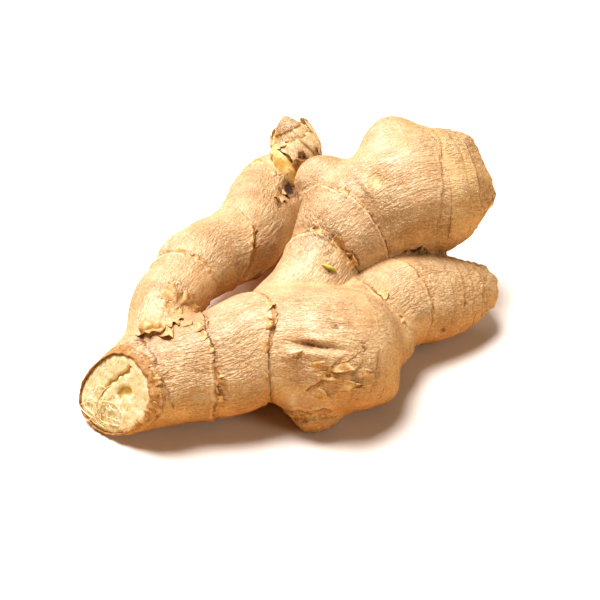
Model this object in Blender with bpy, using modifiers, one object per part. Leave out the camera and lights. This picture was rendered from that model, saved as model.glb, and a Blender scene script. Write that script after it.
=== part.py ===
"""Ginger rhizome: one natural body of branching fingers, swept along the spines that they grew on.

Each finger is a smooth path of stations with a centre and a radius. Curve tubes along the paths are
fused by a voxel Remesh, the fused skin is drawn onto the smooth union of the fingers, and the node
rings, scars, eyes and wrinkles are raised from it by formulas. The knife cut at one end and the
small flats that it lies on are plane cuts.
"""

import math

import bmesh
import bpy
import numpy as np
from mathutils import Vector

MM = 0.001
NAME = "ginger_rhizome"

# Fingers: stations of x, y, height and radius, in millimetres, from root to tip
FINGERS = {
    "main": [
        (-63.0, -42.0, 9.5, 8.0),
        (-54.0, -39.0, 11.4, 12.0),
        (-44.5, -36.0, 15.0, 14.5),
        (-34.5, -33.8, 16.3, 15.3),
        (-23.5, -31.4, 17.3, 15.9),
        (-11.5, -26.5, 20.0, 16.5),
        (1.5, -26.0, 20.0, 17.5),
        (12.0, -27.5, 19.4, 17.6),
        (19.5, -26.0, 18.0, 11.5),
    ],
    "main_low_lobe": [(17.5, -30.5, 13.0, 10.5), (23.0, -30.0, 9.0, 7.0)],
    "main_high_lobe": [(22.5, -18.5, 15.5, 10.0), (28.5, -18.0, 14.5, 7.5)],
    "right": [
        (12.5, -19.0, 16.5, 12.0),
        (24.5, -7.5, 16.3, 12.9),
        (34.0, 0.0, 15.3, 14.3),
        (42.0, 3.5, 13.7, 14.0),
        (50.0, 6.0, 13.0, 11.6),
        (55.0, 8.3, 12.6, 9.3),
    ],
    "upper": [
        (-4.5, -12.0, 20.0, 12.0),
        (1.0, -5.0, 23.0, 11.5),
        (5.0, 2.0, 26.0, 11.5),
        (8.5, 9.5, 29.0, 12.0),
        (14.0, 15.5, 32.0, 15.0),
        (23.5, 22.0, 35.0, 17.0),
        (32.5, 26.0, 38.0, 19.5),
        (41.0, 29.0, 37.5, 19.8),
    ],
    "upper_crown": [(33.5, 27.0, 44.0, 12.5), (30.6, 37.0, 48.6, 10.7)],
    "upper_shoulder": [(14.5, 24.5, 36.0, 12.5), (8.5, 32.5, 38.0, 10.5)],
    "upper_tip": [(48.5, 29.5, 37.5, 11.0), (58.2, 30.3, 36.0, 5.0)],
    "upper_scale": [(47.0, 35.5, 46.0, 9.5), (51.5, 37.0, 49.0, 5.5)],
    "back": [
        (-43.0, -25.0, 21.0, 9.5),
        (-41.5, -12.5, 24.0, 10.0),
        (-38.0, -5.0, 25.0, 10.0),
        (-34.5, 4.0, 24.5, 10.5),
        (-29.5, 14.0, 23.0, 11.5),
        (-22.0, 22.0, 21.0, 12.5),
        (-16.0, 35.5, 18.5, 13.5),
        (-11.5, 61.0, 13.5, 13.0),
        (-9.5, 74.0, 10.5, 11.0),
    ],
    "back_elbow": [(-31.5, 8.5, 24.0, 9.0), (-35.0, 7.5, 27.0, 7.5)],
    "stub": [
        (-3.2, 59.0, 18.5, 2.5),
        (-2.8, 62.0, 22.0, 4.2),
        (-1.6, 66.5, 26.5, 7.6),
        (-2.0, 69.8, 30.5, 7.5),
        (-4.0, 71.5, 35.0, 4.5),
    ],
    "knob": [(3.0, -37.0, 13.5, 9.0), (4.5, -39.5, 5.6, 5.9)],
    "knob_toe": [(3.0, -38.8, 5.6, 5.2), (7.0, -38.6, 5.4, 5.0)],
}
FAMILIES = {
    "main": ("main", "main_low_lobe", "main_high_lobe"),
    "right": ("right",),
    "upper": ("upper", "upper_crown", "upper_shoulder", "upper_tip", "upper_scale"),
    "back": ("back", "back_elbow"),
    "stub": ("stub",),
    "knob": ("knob", "knob_toe"),
}
PATH_STEP = 1.0
PATH_SOFTNESS = 0.1
STEEP_SLOPE = 0.7
LOBE_BLEND = 2.0
JOINT_BLEND = 1.8

# Knife cut across the root end of the main finger
CUT_POINT = (-56.4, -42.1, 11.1)
CUT_NORMAL = (-0.60, -0.72, 0.36)

# Whole rhizome moved so that its box stands centred on the origin
CENTRE_SHIFT = (1.0, -17.0, 0.0)

# Skin relief: height and wavelength of each layer, in millimetres
LUMPS = ((0.75, 15.0), (0.30, 7.0))
WRINKLE_HEIGHT = 0.22
WRINKLE_WIDTH = 3.2
WRINKLE_STRETCH = 5.0

# Node rings: finger, run along it, how far the ring leans on at the top and at the near side,
# strength, and where round the finger a partial ring sits with its half-width (0 for a whole ring).
# Clock angles run from the finger's top, 0 degrees, towards its near side, 90 degrees.
RINGS = (
    ("main", 23.7, -0.2, 1.7, 0.4, 35.0, 45.0),
    ("main", 38.4, 2.3, -0.6, 0.9, 0.0, 0.0),
    ("main", 50.5, 7.5, 2.7, 0.9, 0.0, 0.0),
    ("main", 71.5, 10.7, 1.9, 1.1, 95.0, 40.0),
    ("right", 11.5, 1.5, -1.5, 1.1, 0.0, 0.0),
    ("right", 26.5, 1.0, 1.5, 0.5, 0.0, 0.0),
    ("right", 38.7, 0.3, 0.0, 0.3, 0.0, 0.0),
    ("right", 44.6, 0.6, -1.1, 0.35, 0.0, 0.0),
    ("upper", 21.8, 3.8, 1.9, 1.4, -20.0, 95.0),
    ("upper", 36.5, 2.1, 4.9, 0.9, 0.0, 0.0),
    ("upper", 67.5, 0.5, -5.0, 0.6, 0.0, 0.0),
    ("upper", 73.0, 0.5, 0.0, 0.35, 0.0, 0.0),
    ("back", 23.4, 2.1, 1.2, 1.1, 0.0, 0.0),
    ("back", 50.9, 5.0, -3.5, 1.4, 0.0, 0.0),
    ("back", 86.7, 0.9, -5.7, 1.0, 0.0, 0.0),
    ("back", 101.0, 1.0, 1.0, 0.6, 0.0, 0.0),
    ("knob", 4.0, 0.5, 0.5, 0.8, 0.0, 0.0),
)
RING_LIP = 0.45
RING_STEP = 0.40
RING_GROOVE = 0.50
RING_WIDTH = 1.2
RING_FADE = 7.0
RING_RAGGED = ((0.9, 6.0), (0.4, 2.5))

# Scars, eyes and nubs: finger, run, clock angle, half-length, half-width and height
SCARS = (
    ("upper", 50.0, 21.0, 2.6, 3.6, -0.9),
    ("upper", 46.8, 21.0, 1.2, 3.2, 0.5),
    ("upper", 26.4, 36.0, 1.6, 1.2, -0.8),
    ("upper", 25.0, 58.0, 2.2, 1.4, 0.6),
    ("upper", 16.4, 39.0, 0.9, 1.8, 0.5),
    ("upper", 85.0, 82.0, 2.4, 2.4, 0.7),
    ("main", 23.4, -14.0, 2.2, 3.6, 1.7),
    ("main", 21.2, -8.0, 1.3, 3.4, -1.4),
    ("main", 73.0, 47.0, 5.0, 1.5, -1.0),
    ("main", 73.0, 55.0, 5.5, 1.2, 0.5),
    ("main", 77.0, 26.0, 1.5, 1.2, -0.8),
    ("main", 79.0, 20.0, 1.6, 1.2, 0.5),
    ("main", 64.4, 59.0, 1.6, 1.2, 0.6),
    ("main", 77.0, 63.0, 2.2, 1.2, 0.5),
    ("main", 84.7, 42.0, 2.2, 2.2, -0.5),
    ("main", 56.0, -45.0, 5.0, 8.0, 0.9),
    ("main", 57.0, 105.0, 6.0, 6.0, 1.2),
    ("main", 25.3, 42.0, 1.2, 1.4, 0.5),
    ("main", 21.3, 52.0, 1.6, 1.4, -0.6),
    ("back", 77.7, 36.0, 1.8, 2.4, -0.7),
    ("back", 70.2, 40.0, 3.2, 1.6, -0.6),
    ("back", 28.5, -50.0, 2.0, 3.0, 0.7),
    ("back", 41.0, -75.0, 4.5, 6.0, -1.0),
    ("back", 4.6, 38.0, 3.5, 3.5, -0.4),
    ("back", 51.6, 118.0, 3.0, 1.6, 0.9),
    ("right", 30.0, 49.0, 1.2, 1.2, -0.4),
    ("right", 44.2, 64.0, 1.4, 1.0, -0.4),
    ("right", 36.0, 97.0, 1.6, 1.2, -0.5),
    ("right", 56.5, 51.0, 3.5, 3.5, 0.6),
    ("stub", 12.0, -95.0, 1.5, 2.2, 1.4),
)

# Torn and dried ends: finger, run past which the end is rough, height of the roughness
ROUGH_ENDS = (("stub", 12.5, 1.3), ("knob", 3.5, 0.5), ("right", 52.0, 0.5), ("upper", 76.0, 0.4))
ROUGH_WAVELENGTH = 3.0

# Papery collar round the upper far side of the shoot stub
COLLAR_RUN = 10.0
COLLAR_LEAN_TOP = 2.5
COLLAR_LEAN_SIDE = -3.0
COLLAR_HEIGHT = 1.0
COLLAR_CLOCK = -150.0
COLLAR_SPREAD = 70.0

# Seeds of the random lattices
LUMP_SEED = 11
WRINKLE_SEED = 31
RAGGED_SEED = 51
ROUGH_SEED = 71
LATTICE_SIZE = 32

# Mesh: tube roundness, dome steps in degrees, face size and triangle budget
TUBE_RESOLUTION = 6
DOME_STEPS = (30.0, 55.0, 75.0)
SKIN_VOXEL = 1.0
SKIN_TRIANGLES = 11500
SETTLE_ROUNDS = 6
RELAX_ROUNDS = 6
WELD_DISTANCE = 0.01
SNAP_DISTANCE = 0.05
SHORTEST_EDGE = 0.1
SHARP_DEGREES = 50.0

SKIN_COLOUR = (0.72, 0.47, 0.24, 1.0)


def clear_scene():
    """Remove every object that the file opened with."""
    for thing in list(bpy.data.objects):
        bpy.data.objects.remove(thing, do_unlink=True)


def smooth_path(stations):
    """Points about PATH_STEP apart on the Catmull-Rom curve through the stations, radius included."""
    knots = np.array(stations, dtype=float)
    before = 2.0 * knots[0] - knots[1]
    after = 2.0 * knots[-1] - knots[-2]
    padded = np.vstack([before, knots, after])
    pieces = []
    for index in range(len(knots) - 1):
        a, b, c, d = padded[index:index + 4]
        count = max(2, int(np.linalg.norm((c - b)[:3]) / PATH_STEP))
        u = np.linspace(0.0, 1.0, count, endpoint=False)[:, None]
        cubic = 2.0 * b + (c - a) * u + (2.0 * a - 5.0 * b + 4.0 * c - d) * u ** 2
        pieces.append(0.5 * (cubic + (3.0 * b - a - 3.0 * c + d) * u ** 3))
    return np.vstack(pieces + [knots[-1:]])


class Finger:
    """A finger's path with its tangents, its run in millimetres and two axes across it."""

    def __init__(self, stations):
        path = smooth_path(stations)
        self.centres = path[:, :3]
        self.radii = path[:, 3]
        steps = np.linalg.norm(np.diff(self.centres, axis=0), axis=1)
        self.run = np.concatenate([[0.0], np.cumsum(steps)])
        slopes = np.gradient(self.centres, axis=0)
        self.tangents = slopes / np.linalg.norm(slopes, axis=1)[:, None]
        steep = abs(self.tangents[:, 2].mean()) > STEEP_SLOPE
        reference = np.array([0.0, 1.0, 0.0]) if steep else np.array([0.0, 0.0, 1.0])
        tops = reference - self.tangents * (self.tangents @ reference)[:, None]
        self.tops = tops / np.linalg.norm(tops, axis=1)[:, None]
        self.sides = np.cross(self.tangents, self.tops)

    def gaps(self, points):
        """Distance from each point to the skin of every ball along the path."""
        square = (points ** 2).sum(1)[:, None] + (self.centres ** 2).sum(1)[None, :]
        reach = np.sqrt(np.maximum(square - 2.0 * points @ self.centres.T, 1e-9))
        return reach - self.radii

    def nearest(self, points):
        """Distance to the finger's skin and the direction in which it grows."""
        gaps = self.gaps(points)
        pick = gaps.argmin(1)
        away = points - self.centres[pick]
        away /= np.linalg.norm(away, axis=1)[:, None]
        return gaps[np.arange(len(points)), pick], away

    def coordinates(self, points):
        """Run along the finger and the two offsets across it, smooth where the path bends."""
        gaps = self.gaps(points)
        share = np.exp(-(gaps - gaps.min(1)[:, None]) / PATH_SOFTNESS)
        share /= share.sum(1)[:, None]
        centre = share @ self.centres
        tangent = share @ self.tangents
        tangent /= np.linalg.norm(tangent, axis=1)[:, None]
        offset = points - centre
        along = (offset * tangent).sum(1)
        top = (offset * (share @ self.tops)).sum(1)
        side = (offset * (share @ self.sides)).sum(1)
        return share @ self.run + along, top, side


def blend(values, slopes, width):
    """Smooth minimum of several distances, with its slope and each one's share."""
    stack = np.array(values)
    low = stack.min(0)
    share = np.exp(-(stack - low) / width)
    total = share.sum(0)
    share /= total
    slope = (share[:, :, None] * np.array(slopes)).sum(0)
    return low - width * np.log(total), slope, share


class Body:
    """The smooth union of all fingers: lobes blend softly in a family, families meet in a crease."""

    def __init__(self):
        self.fingers = {name: Finger(stations) for name, stations in FINGERS.items()}

    def field(self, points):
        """Signed distance to the body, its slope and each family's share."""
        values = []
        slopes = []
        for members in FAMILIES.values():
            near = [self.fingers[name].nearest(points) for name in members]
            value, slope, _ = blend([item[0] for item in near], [item[1] for item in near], LOBE_BLEND)
            values.append(value)
            slopes.append(slope)
        return blend(values, slopes, JOINT_BLEND)

    def settle(self, points, rounds):
        """Move points down the slope until they lie on the body's skin."""
        for _ in range(rounds):
            value, slope, _ = self.field(points)
            points = points - (value / (slope ** 2).sum(1))[:, None] * slope
        return points


def lattice_noise(points, seed):
    """Smooth random values from -1 to 1, one lattice cell to a unit."""
    size = LATTICE_SIZE
    table = np.random.default_rng(seed).uniform(-1.0, 1.0, (size, size, size))
    cell = np.floor(points).astype(int)
    part = points - cell
    fade = part * part * (3.0 - 2.0 * part)
    total = np.zeros(len(points))
    for corner in range(8):
        bits = np.array([corner & 1, corner >> 1 & 1, corner >> 2 & 1])
        weight = np.where(bits, fade, 1.0 - fade).prod(1)
        x, y, z = ((cell + bits) % size).T
        total += weight * table[x, y, z]
    return total


def smooth_step(value, start, end):
    """0 before start, 1 past end, and a smooth rise between them."""
    part = np.clip((value - start) / (end - start), 0.0, 1.0)
    return part * part * (3.0 - 2.0 * part)


def clock_window(top, side, clock, spread):
    """1 at a clock angle round the finger, fading to 0 past the spread on both sides."""
    turn = np.degrees(np.arctan2(side, top)) - clock
    turn = (turn + 180.0) % 360.0 - 180.0
    return np.exp(-(turn / spread) ** 4)


def ring_height(points, run, top, side, ring):
    """Profile of one node ring: a scale's raised edge, then the groove that it drops into."""
    _, start, lean_top, lean_side, strength, clock, spread = ring
    across = np.hypot(top, side) + 1e-6
    line = start + (lean_top * top + lean_side * side) / across
    for layer, (size, wavelength) in enumerate(RING_RAGGED):
        line = line + size * lattice_noise(points / wavelength, RAGGED_SEED + layer)
    past = run - line
    lip = RING_LIP * np.exp(-((past + RING_WIDTH) / RING_WIDTH) ** 2)
    groove = RING_GROOVE * np.exp(-((past - RING_WIDTH) / RING_WIDTH) ** 2)
    fade = np.exp(np.minimum(past, 0.0) / RING_FADE)
    sheath = RING_STEP * fade * (1.0 - smooth_step(past, -RING_WIDTH, RING_WIDTH))
    height = strength * (lip + sheath - groove)
    return height * clock_window(top, side, clock, spread) if spread else height


def scar_height(finger, run, top, side, scar):
    """A smooth pit or nub on the skin, longer or wider as the scar asks."""
    _, start, clock, half_length, half_width, height = scar
    radius = np.interp(start, finger.run, finger.radii)
    across = np.hypot(top, side) + 1e-6
    turn = math.radians(clock)
    chord = radius * np.hypot(top / across - math.cos(turn), side / across - math.sin(turn))
    return height * np.exp(-((run - start) / half_length) ** 2 - (chord / half_width) ** 2)


def collar_height(run, top, side):
    """The papery collar of the shoot stub: a step up that starts along a leaning line."""
    across = np.hypot(top, side) + 1e-6
    line = COLLAR_RUN + (COLLAR_LEAN_TOP * top + COLLAR_LEAN_SIDE * side) / across
    rise = smooth_step(run - line, -0.6, 0.8)
    return COLLAR_HEIGHT * rise * clock_window(top, side, COLLAR_CLOCK, COLLAR_SPREAD)


def relief(body, points, shares):
    """Height of the skin over the smooth body: lumps, wrinkles, node rings, scars and torn ends."""
    height = np.zeros(len(points))
    for layer, (size, wavelength) in enumerate(LUMPS):
        height += size * lattice_noise(points / wavelength, LUMP_SEED + layer)
    rough = lattice_noise(points / ROUGH_WAVELENGTH, ROUGH_SEED)
    for index, family in enumerate(FAMILIES):
        finger = body.fingers[family]
        run, top, side = finger.coordinates(points)
        striped = np.stack([top, side, run / WRINKLE_STRETCH], axis=1) / WRINKLE_WIDTH
        local = WRINKLE_HEIGHT * lattice_noise(striped, WRINKLE_SEED + index)
        for ring in RINGS:
            if ring[0] == family:
                local += ring_height(points, run, top, side, ring)
        for scar in SCARS:
            if scar[0] == family:
                local += scar_height(finger, run, top, side, scar)
        for name, start, size in ROUGH_ENDS:
            if name == family:
                local += size * rough * smooth_step(run, start, start + ROUGH_WAVELENGTH)
        if family == "stub":
            local += collar_height(run, top, side)
        height += shares[index] * local
    return height


def tube_object(name, stations):
    """A bevelled curve along one finger, its ends closed by domes."""
    path = smooth_path(stations)
    first = path[0, :3] - path[1, :3]
    last = path[-1, :3] - path[-2, :3]
    first /= np.linalg.norm(first)
    last /= np.linalg.norm(last)
    points = list(path)
    root = path[0]
    tip = path[-1]
    for degrees in DOME_STEPS:
        rise = math.sin(math.radians(degrees))
        shrink = math.cos(math.radians(degrees))
        points.insert(0, np.append(root[:3] + first * rise * root[3], root[3] * shrink))
        points.append(np.append(tip[:3] + last * rise * tip[3], tip[3] * shrink))
    curve = bpy.data.curves.new(name, "CURVE")
    curve.dimensions = "3D"
    curve.bevel_depth = MM
    curve.bevel_resolution = TUBE_RESOLUTION
    curve.use_fill_caps = True
    spline = curve.splines.new("POLY")
    spline.points.add(len(points) - 1)
    for target, (x, y, z, radius) in zip(spline.points, points):
        target.co = (x * MM, y * MM, z * MM, 1.0)
        target.radius = radius
    return bpy.data.objects.new(name, curve)


def evaluated_mesh(thing):
    """A new mesh of the object as its modifiers leave it."""
    graph = bpy.context.evaluated_depsgraph_get()
    return bpy.data.meshes.new_from_object(thing.evaluated_get(graph))


def fused_skin(collection):
    """All tubes in one object, fused to one closed skin by a voxel Remesh."""
    bm = bmesh.new()
    for name, stations in FINGERS.items():
        tube = tube_object(name, stations)
        collection.objects.link(tube)
        bpy.context.view_layer.update()
        mesh = evaluated_mesh(tube)
        bm.from_mesh(mesh)
        bpy.data.objects.remove(tube)
        bpy.data.meshes.remove(mesh)
    bmesh.ops.remove_doubles(bm, verts=bm.verts, dist=WELD_DISTANCE * MM)
    mesh = bpy.data.meshes.new(NAME)
    bm.to_mesh(mesh)
    bm.free()
    skin = bpy.data.objects.new(NAME, mesh)
    collection.objects.link(skin)
    fuse(skin)
    return skin


def fuse(skin):
    """Make the object one closed surface of even faces with a voxel Remesh."""
    remesh = skin.modifiers.new("Fuse", "REMESH")
    remesh.mode = "VOXEL"
    remesh.voxel_size = SKIN_VOXEL * MM
    apply_modifiers(skin)


def apply_modifiers(thing):
    """Replace the object's mesh by its evaluated mesh and drop its modifiers."""
    bpy.context.view_layer.update()
    mesh = evaluated_mesh(thing)
    old = thing.data
    thing.modifiers.clear()
    thing.data = mesh
    bpy.data.meshes.remove(old)


def read_points(mesh):
    """The mesh's vertices in millimetres."""
    flat = np.empty(len(mesh.vertices) * 3)
    mesh.vertices.foreach_get("co", flat)
    return flat.reshape(-1, 3) / MM


def write_points(mesh, points):
    """Set the mesh's vertices from millimetres."""
    mesh.vertices.foreach_set("co", (points * MM).ravel())
    mesh.update()


def relaxed(points, edges, slopes):
    """Points moved halfway to their neighbours' mean, along the skin only."""
    total = np.zeros_like(points)
    count = np.zeros(len(points))
    for start, end in ((edges[:, 0], edges[:, 1]), (edges[:, 1], edges[:, 0])):
        np.add.at(total, start, points[end])
        np.add.at(count, start, 1.0)
    move = 0.5 * (total / count[:, None] - points)
    normals = slopes / np.linalg.norm(slopes, axis=1)[:, None]
    return points + move - normals * (move * normals).sum(1)[:, None]


def shape_skin(skin, body):
    """Draw the skin onto the body, even out its vertices and raise the relief."""
    mesh = skin.data
    edges = np.empty(len(mesh.edges) * 2, dtype=np.int32)
    mesh.edges.foreach_get("vertices", edges)
    edges = edges.reshape(-1, 2)
    points = body.settle(read_points(mesh), SETTLE_ROUNDS)
    for _ in range(RELAX_ROUNDS):
        points = relaxed(points, edges, body.field(points)[1])
        points = body.settle(points, rounds=1)
    _, slopes, shares = body.field(points)
    normals = slopes / np.linalg.norm(slopes, axis=1)[:, None]
    points = points + normals * relief(body, points, shares)[:, None]
    write_points(mesh, points)


def thin_skin(skin):
    """Decimate the skin to its triangle budget."""
    thin = skin.modifiers.new("Thin", "DECIMATE")
    thin.ratio = SKIN_TRIANGLES / (2.0 * len(skin.data.polygons))
    thin.use_collapse_triangulate = True
    apply_modifiers(skin)


def slice_off(bm, point, normal):
    """Cut away what lies past a plane and close the cut with flat faces."""
    everything = bm.verts[:] + bm.edges[:] + bm.faces[:]
    bmesh.ops.bisect_plane(
        bm, geom=everything, dist=SNAP_DISTANCE * MM, plane_co=point, plane_no=normal, clear_outer=True
    )
    rim = [edge for edge in bm.edges if edge.is_boundary]
    for corner in {corner for edge in rim for corner in edge.verts}:
        corner.co -= (corner.co - point).dot(normal) * normal
    bmesh.ops.holes_fill(bm, edges=rim)


def cut_flats(skin):
    """Slice the root end with the knife, and the underside level where it touches the ground."""
    bm = bmesh.new()
    bm.from_mesh(skin.data)
    slice_off(bm, Vector(CUT_POINT) * MM, Vector(CUT_NORMAL).normalized())
    slice_off(bm, Vector(), Vector((0.0, 0.0, -1.0)))
    bmesh.ops.dissolve_degenerate(bm, edges=bm.edges, dist=SHORTEST_EDGE * MM)
    bmesh.ops.triangulate(bm, faces=bm.faces)
    bm.to_mesh(skin.data)
    bm.free()


def skin_material():
    """Matt tan cork skin."""
    material = bpy.data.materials.new("ginger_skin")
    material.use_nodes = True
    shader = material.node_tree.nodes["Principled BSDF"]
    shader.inputs["Base Color"].default_value = SKIN_COLOUR
    shader.inputs["Roughness"].default_value = 0.6
    shader.inputs["Metallic"].default_value = 0.0
    return material


def build_ginger():
    """Model the whole rhizome and return its object."""
    clear_scene()
    collection = bpy.data.collections.new("ginger_root")
    bpy.context.scene.collection.children.link(collection)
    skin = fused_skin(collection)
    shape_skin(skin, Body())
    fuse(skin)
    thin_skin(skin)
    cut_flats(skin)
    write_points(skin.data, read_points(skin.data) + np.array(CENTRE_SHIFT))
    skin.data.materials.append(skin_material())
    skin.data.shade_smooth()
    skin.data.set_sharp_from_angle(angle=math.radians(SHARP_DEGREES))
    return skin


build_ginger()
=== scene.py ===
# %% [markdown]
# # A hand of fresh ginger
#
# A ginger rhizome is one body: thick fingers that branched as they grew, under a thin cork skin.
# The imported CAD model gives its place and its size. This lesson grows a finer skin on the same
# fingers, then adds what is as thin as paper or hair: the dried edges of the scale leaves, the
# flesh in the knife cut with its threads, the torn shoot and a sprout. Lengths are in millimetres
# and are turned into metres only when a mesh is made.

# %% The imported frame
import math

import bmesh
import bpy
import numpy as np
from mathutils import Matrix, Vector


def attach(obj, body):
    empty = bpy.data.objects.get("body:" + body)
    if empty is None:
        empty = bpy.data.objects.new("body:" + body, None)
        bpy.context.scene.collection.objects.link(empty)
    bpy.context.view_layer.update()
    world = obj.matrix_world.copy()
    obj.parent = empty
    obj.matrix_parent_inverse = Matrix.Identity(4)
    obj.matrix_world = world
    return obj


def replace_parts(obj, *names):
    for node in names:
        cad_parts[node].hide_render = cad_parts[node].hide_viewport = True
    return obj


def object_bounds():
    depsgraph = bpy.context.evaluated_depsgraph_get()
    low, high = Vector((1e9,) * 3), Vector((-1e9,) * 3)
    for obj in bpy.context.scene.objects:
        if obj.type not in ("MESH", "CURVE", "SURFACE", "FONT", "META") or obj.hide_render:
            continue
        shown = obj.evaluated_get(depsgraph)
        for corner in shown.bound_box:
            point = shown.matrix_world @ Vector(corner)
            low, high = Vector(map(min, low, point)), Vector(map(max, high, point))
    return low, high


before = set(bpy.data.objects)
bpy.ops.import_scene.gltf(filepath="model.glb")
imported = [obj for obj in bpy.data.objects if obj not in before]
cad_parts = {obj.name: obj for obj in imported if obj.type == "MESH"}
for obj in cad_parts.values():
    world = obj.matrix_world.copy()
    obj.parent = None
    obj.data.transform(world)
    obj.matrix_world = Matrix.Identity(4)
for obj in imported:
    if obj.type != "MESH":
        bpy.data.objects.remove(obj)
cad_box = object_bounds()
MM = 0.001
NODE = "ginger_rhizome"
print("CAD box, mm:", [[round(v / MM, 1) for v in corner] for corner in cad_box])

# %% [markdown]
# ## Camera
#
# The photograph looks down on the ginger from the front, at 40 degrees. A 70 mm lens at 375 mm
# gives the same mild perspective: the cut end looks a little larger than the far bulb.

# %% Camera
TARGET = np.array([1.0, -17.0, 16.0])
ELEVATION = math.radians(40.0)
DISTANCE = 375.0
towards_camera = np.array([0.0, -math.cos(ELEVATION), math.sin(ELEVATION)])
camera = bpy.data.objects.new("camera", bpy.data.cameras.new("camera"))
camera.data.lens = 70.0
camera.data.sensor_width = 36.0
camera.location = (TARGET + DISTANCE * towards_camera) * MM
camera.rotation_euler = (math.pi / 2.0 - ELEVATION, 0.0, 0.0)
bpy.context.scene.collection.objects.link(camera)
bpy.context.scene.camera = camera

# %% [markdown]
# ## Shader helpers
#
# Every finish here is a short chain of nodes. One helper adds a node and one fills its sockets, with
# a value or with a link, so that a chain reads from top to bottom.

# %% Shader helpers
def fill(node, inputs):
    """Fill a node's sockets. inputs maps a socket's name or number to a value or another socket."""
    for key, value in inputs.items():
        if isinstance(value, bpy.types.NodeSocket):
            node.id_data.links.new(value, node.inputs[key])
        else:
            node.inputs[key].default_value = value
    return node


def add(tree, kind, inputs=None, **settings):
    """Add a shader node with its settings, and fill its sockets."""
    made = tree.nodes.new("ShaderNode" + kind)
    for key, value in settings.items():
        setattr(made, key, value)
    return fill(made, inputs or {})


def maths(tree, operation, first, second=0.0):
    """The result of one Math node."""
    return add(tree, "Math", {0: first, 1: second}, operation=operation).outputs[0]


def times(tree, first, second):
    """The product of two values."""
    return maths(tree, "MULTIPLY", first, second)


def over(tree, share, under, colour, mode="MIX"):
    """colour laid over under, as much as the mask share says."""
    inputs = {0: share, 6: under, 7: colour}
    return add(tree, "Mix", inputs, data_type="RGBA", blend_type=mode).outputs[2]


def fade(tree, value, start, end, low=0.0, high=1.0):
    """A smooth rise from low, where value is start, to high, where it is end."""
    inputs = {"Value": value, "From Min": start, "From Max": end, "To Min": low, "To Max": high}
    return add(tree, "MapRange", inputs, interpolation_type="SMOOTHSTEP").outputs[0]


def noise(tree, vector, scale, detail=2.0):
    """Cloudy noise from 0 to 1 with scale cells to a unit."""
    inputs = {"Vector": vector, "Scale": scale, "Detail": detail}
    return add(tree, "TexNoise", inputs).outputs["Fac"]


def scaled(tree, vector, scale):
    """The vector times scale on each axis."""
    return add(tree, "VectorMath", {0: vector, 1: scale}, operation="MULTIPLY").outputs[0]


def millimetres(tree):
    """Object coordinates in millimetres."""
    return scaled(tree, add(tree, "TexCoord").outputs["Object"], (1000.0, 1000.0, 1000.0))


def attribute(tree, name, output="Fac"):
    """A value or vector that the mesh carries at each vertex."""
    return add(tree, "Attribute", attribute_name=name).outputs[output]


def bumped(tree, heights, distance, strength):
    """The normals of a skin that the heights raise, by up to distance metres."""
    inputs = {"Height": heights, "Distance": distance, "Strength": strength}
    return add(tree, "Bump", inputs).outputs["Normal"]


def new_material(name, roughness, specular):
    """A material, its node tree and its Principled shader with plain values set on it."""
    material = bpy.data.materials.new(name)
    material.use_nodes = True
    shader = material.node_tree.nodes["Principled BSDF"]
    fill(shader, {"Roughness": roughness, "Specular IOR Level": specular})
    return material, material.node_tree, shader


def new_group(name, inputs, outputs):
    """An empty node group with named sockets, given as name: kind, and its two end nodes."""
    tree = bpy.data.node_groups.new(name, "ShaderNodeTree")
    for direction, sockets in (("INPUT", inputs), ("OUTPUT", outputs)):
        for label, kind in sockets.items():
            tree.interface.new_socket(label, in_out=direction, socket_type="NodeSocket" + kind)
    return tree, tree.nodes.new("NodeGroupInput").outputs, tree.nodes.new("NodeGroupOutput").inputs


def use_group(tree, group, inputs):
    """The outputs of a node group placed in a material with its own values."""
    return add(tree, "Group", inputs, node_tree=group).outputs


# %% [markdown]
# ## The fingers
#
# A finger is a round rod that bends and swells, so it is a path of stations, each with a centre and
# a radius. Catmull-Rom curves pass through every station, which makes them easy to read off a
# photograph. The stations are those of the CAD model, so that the fine skin fits it everywhere.

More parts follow.
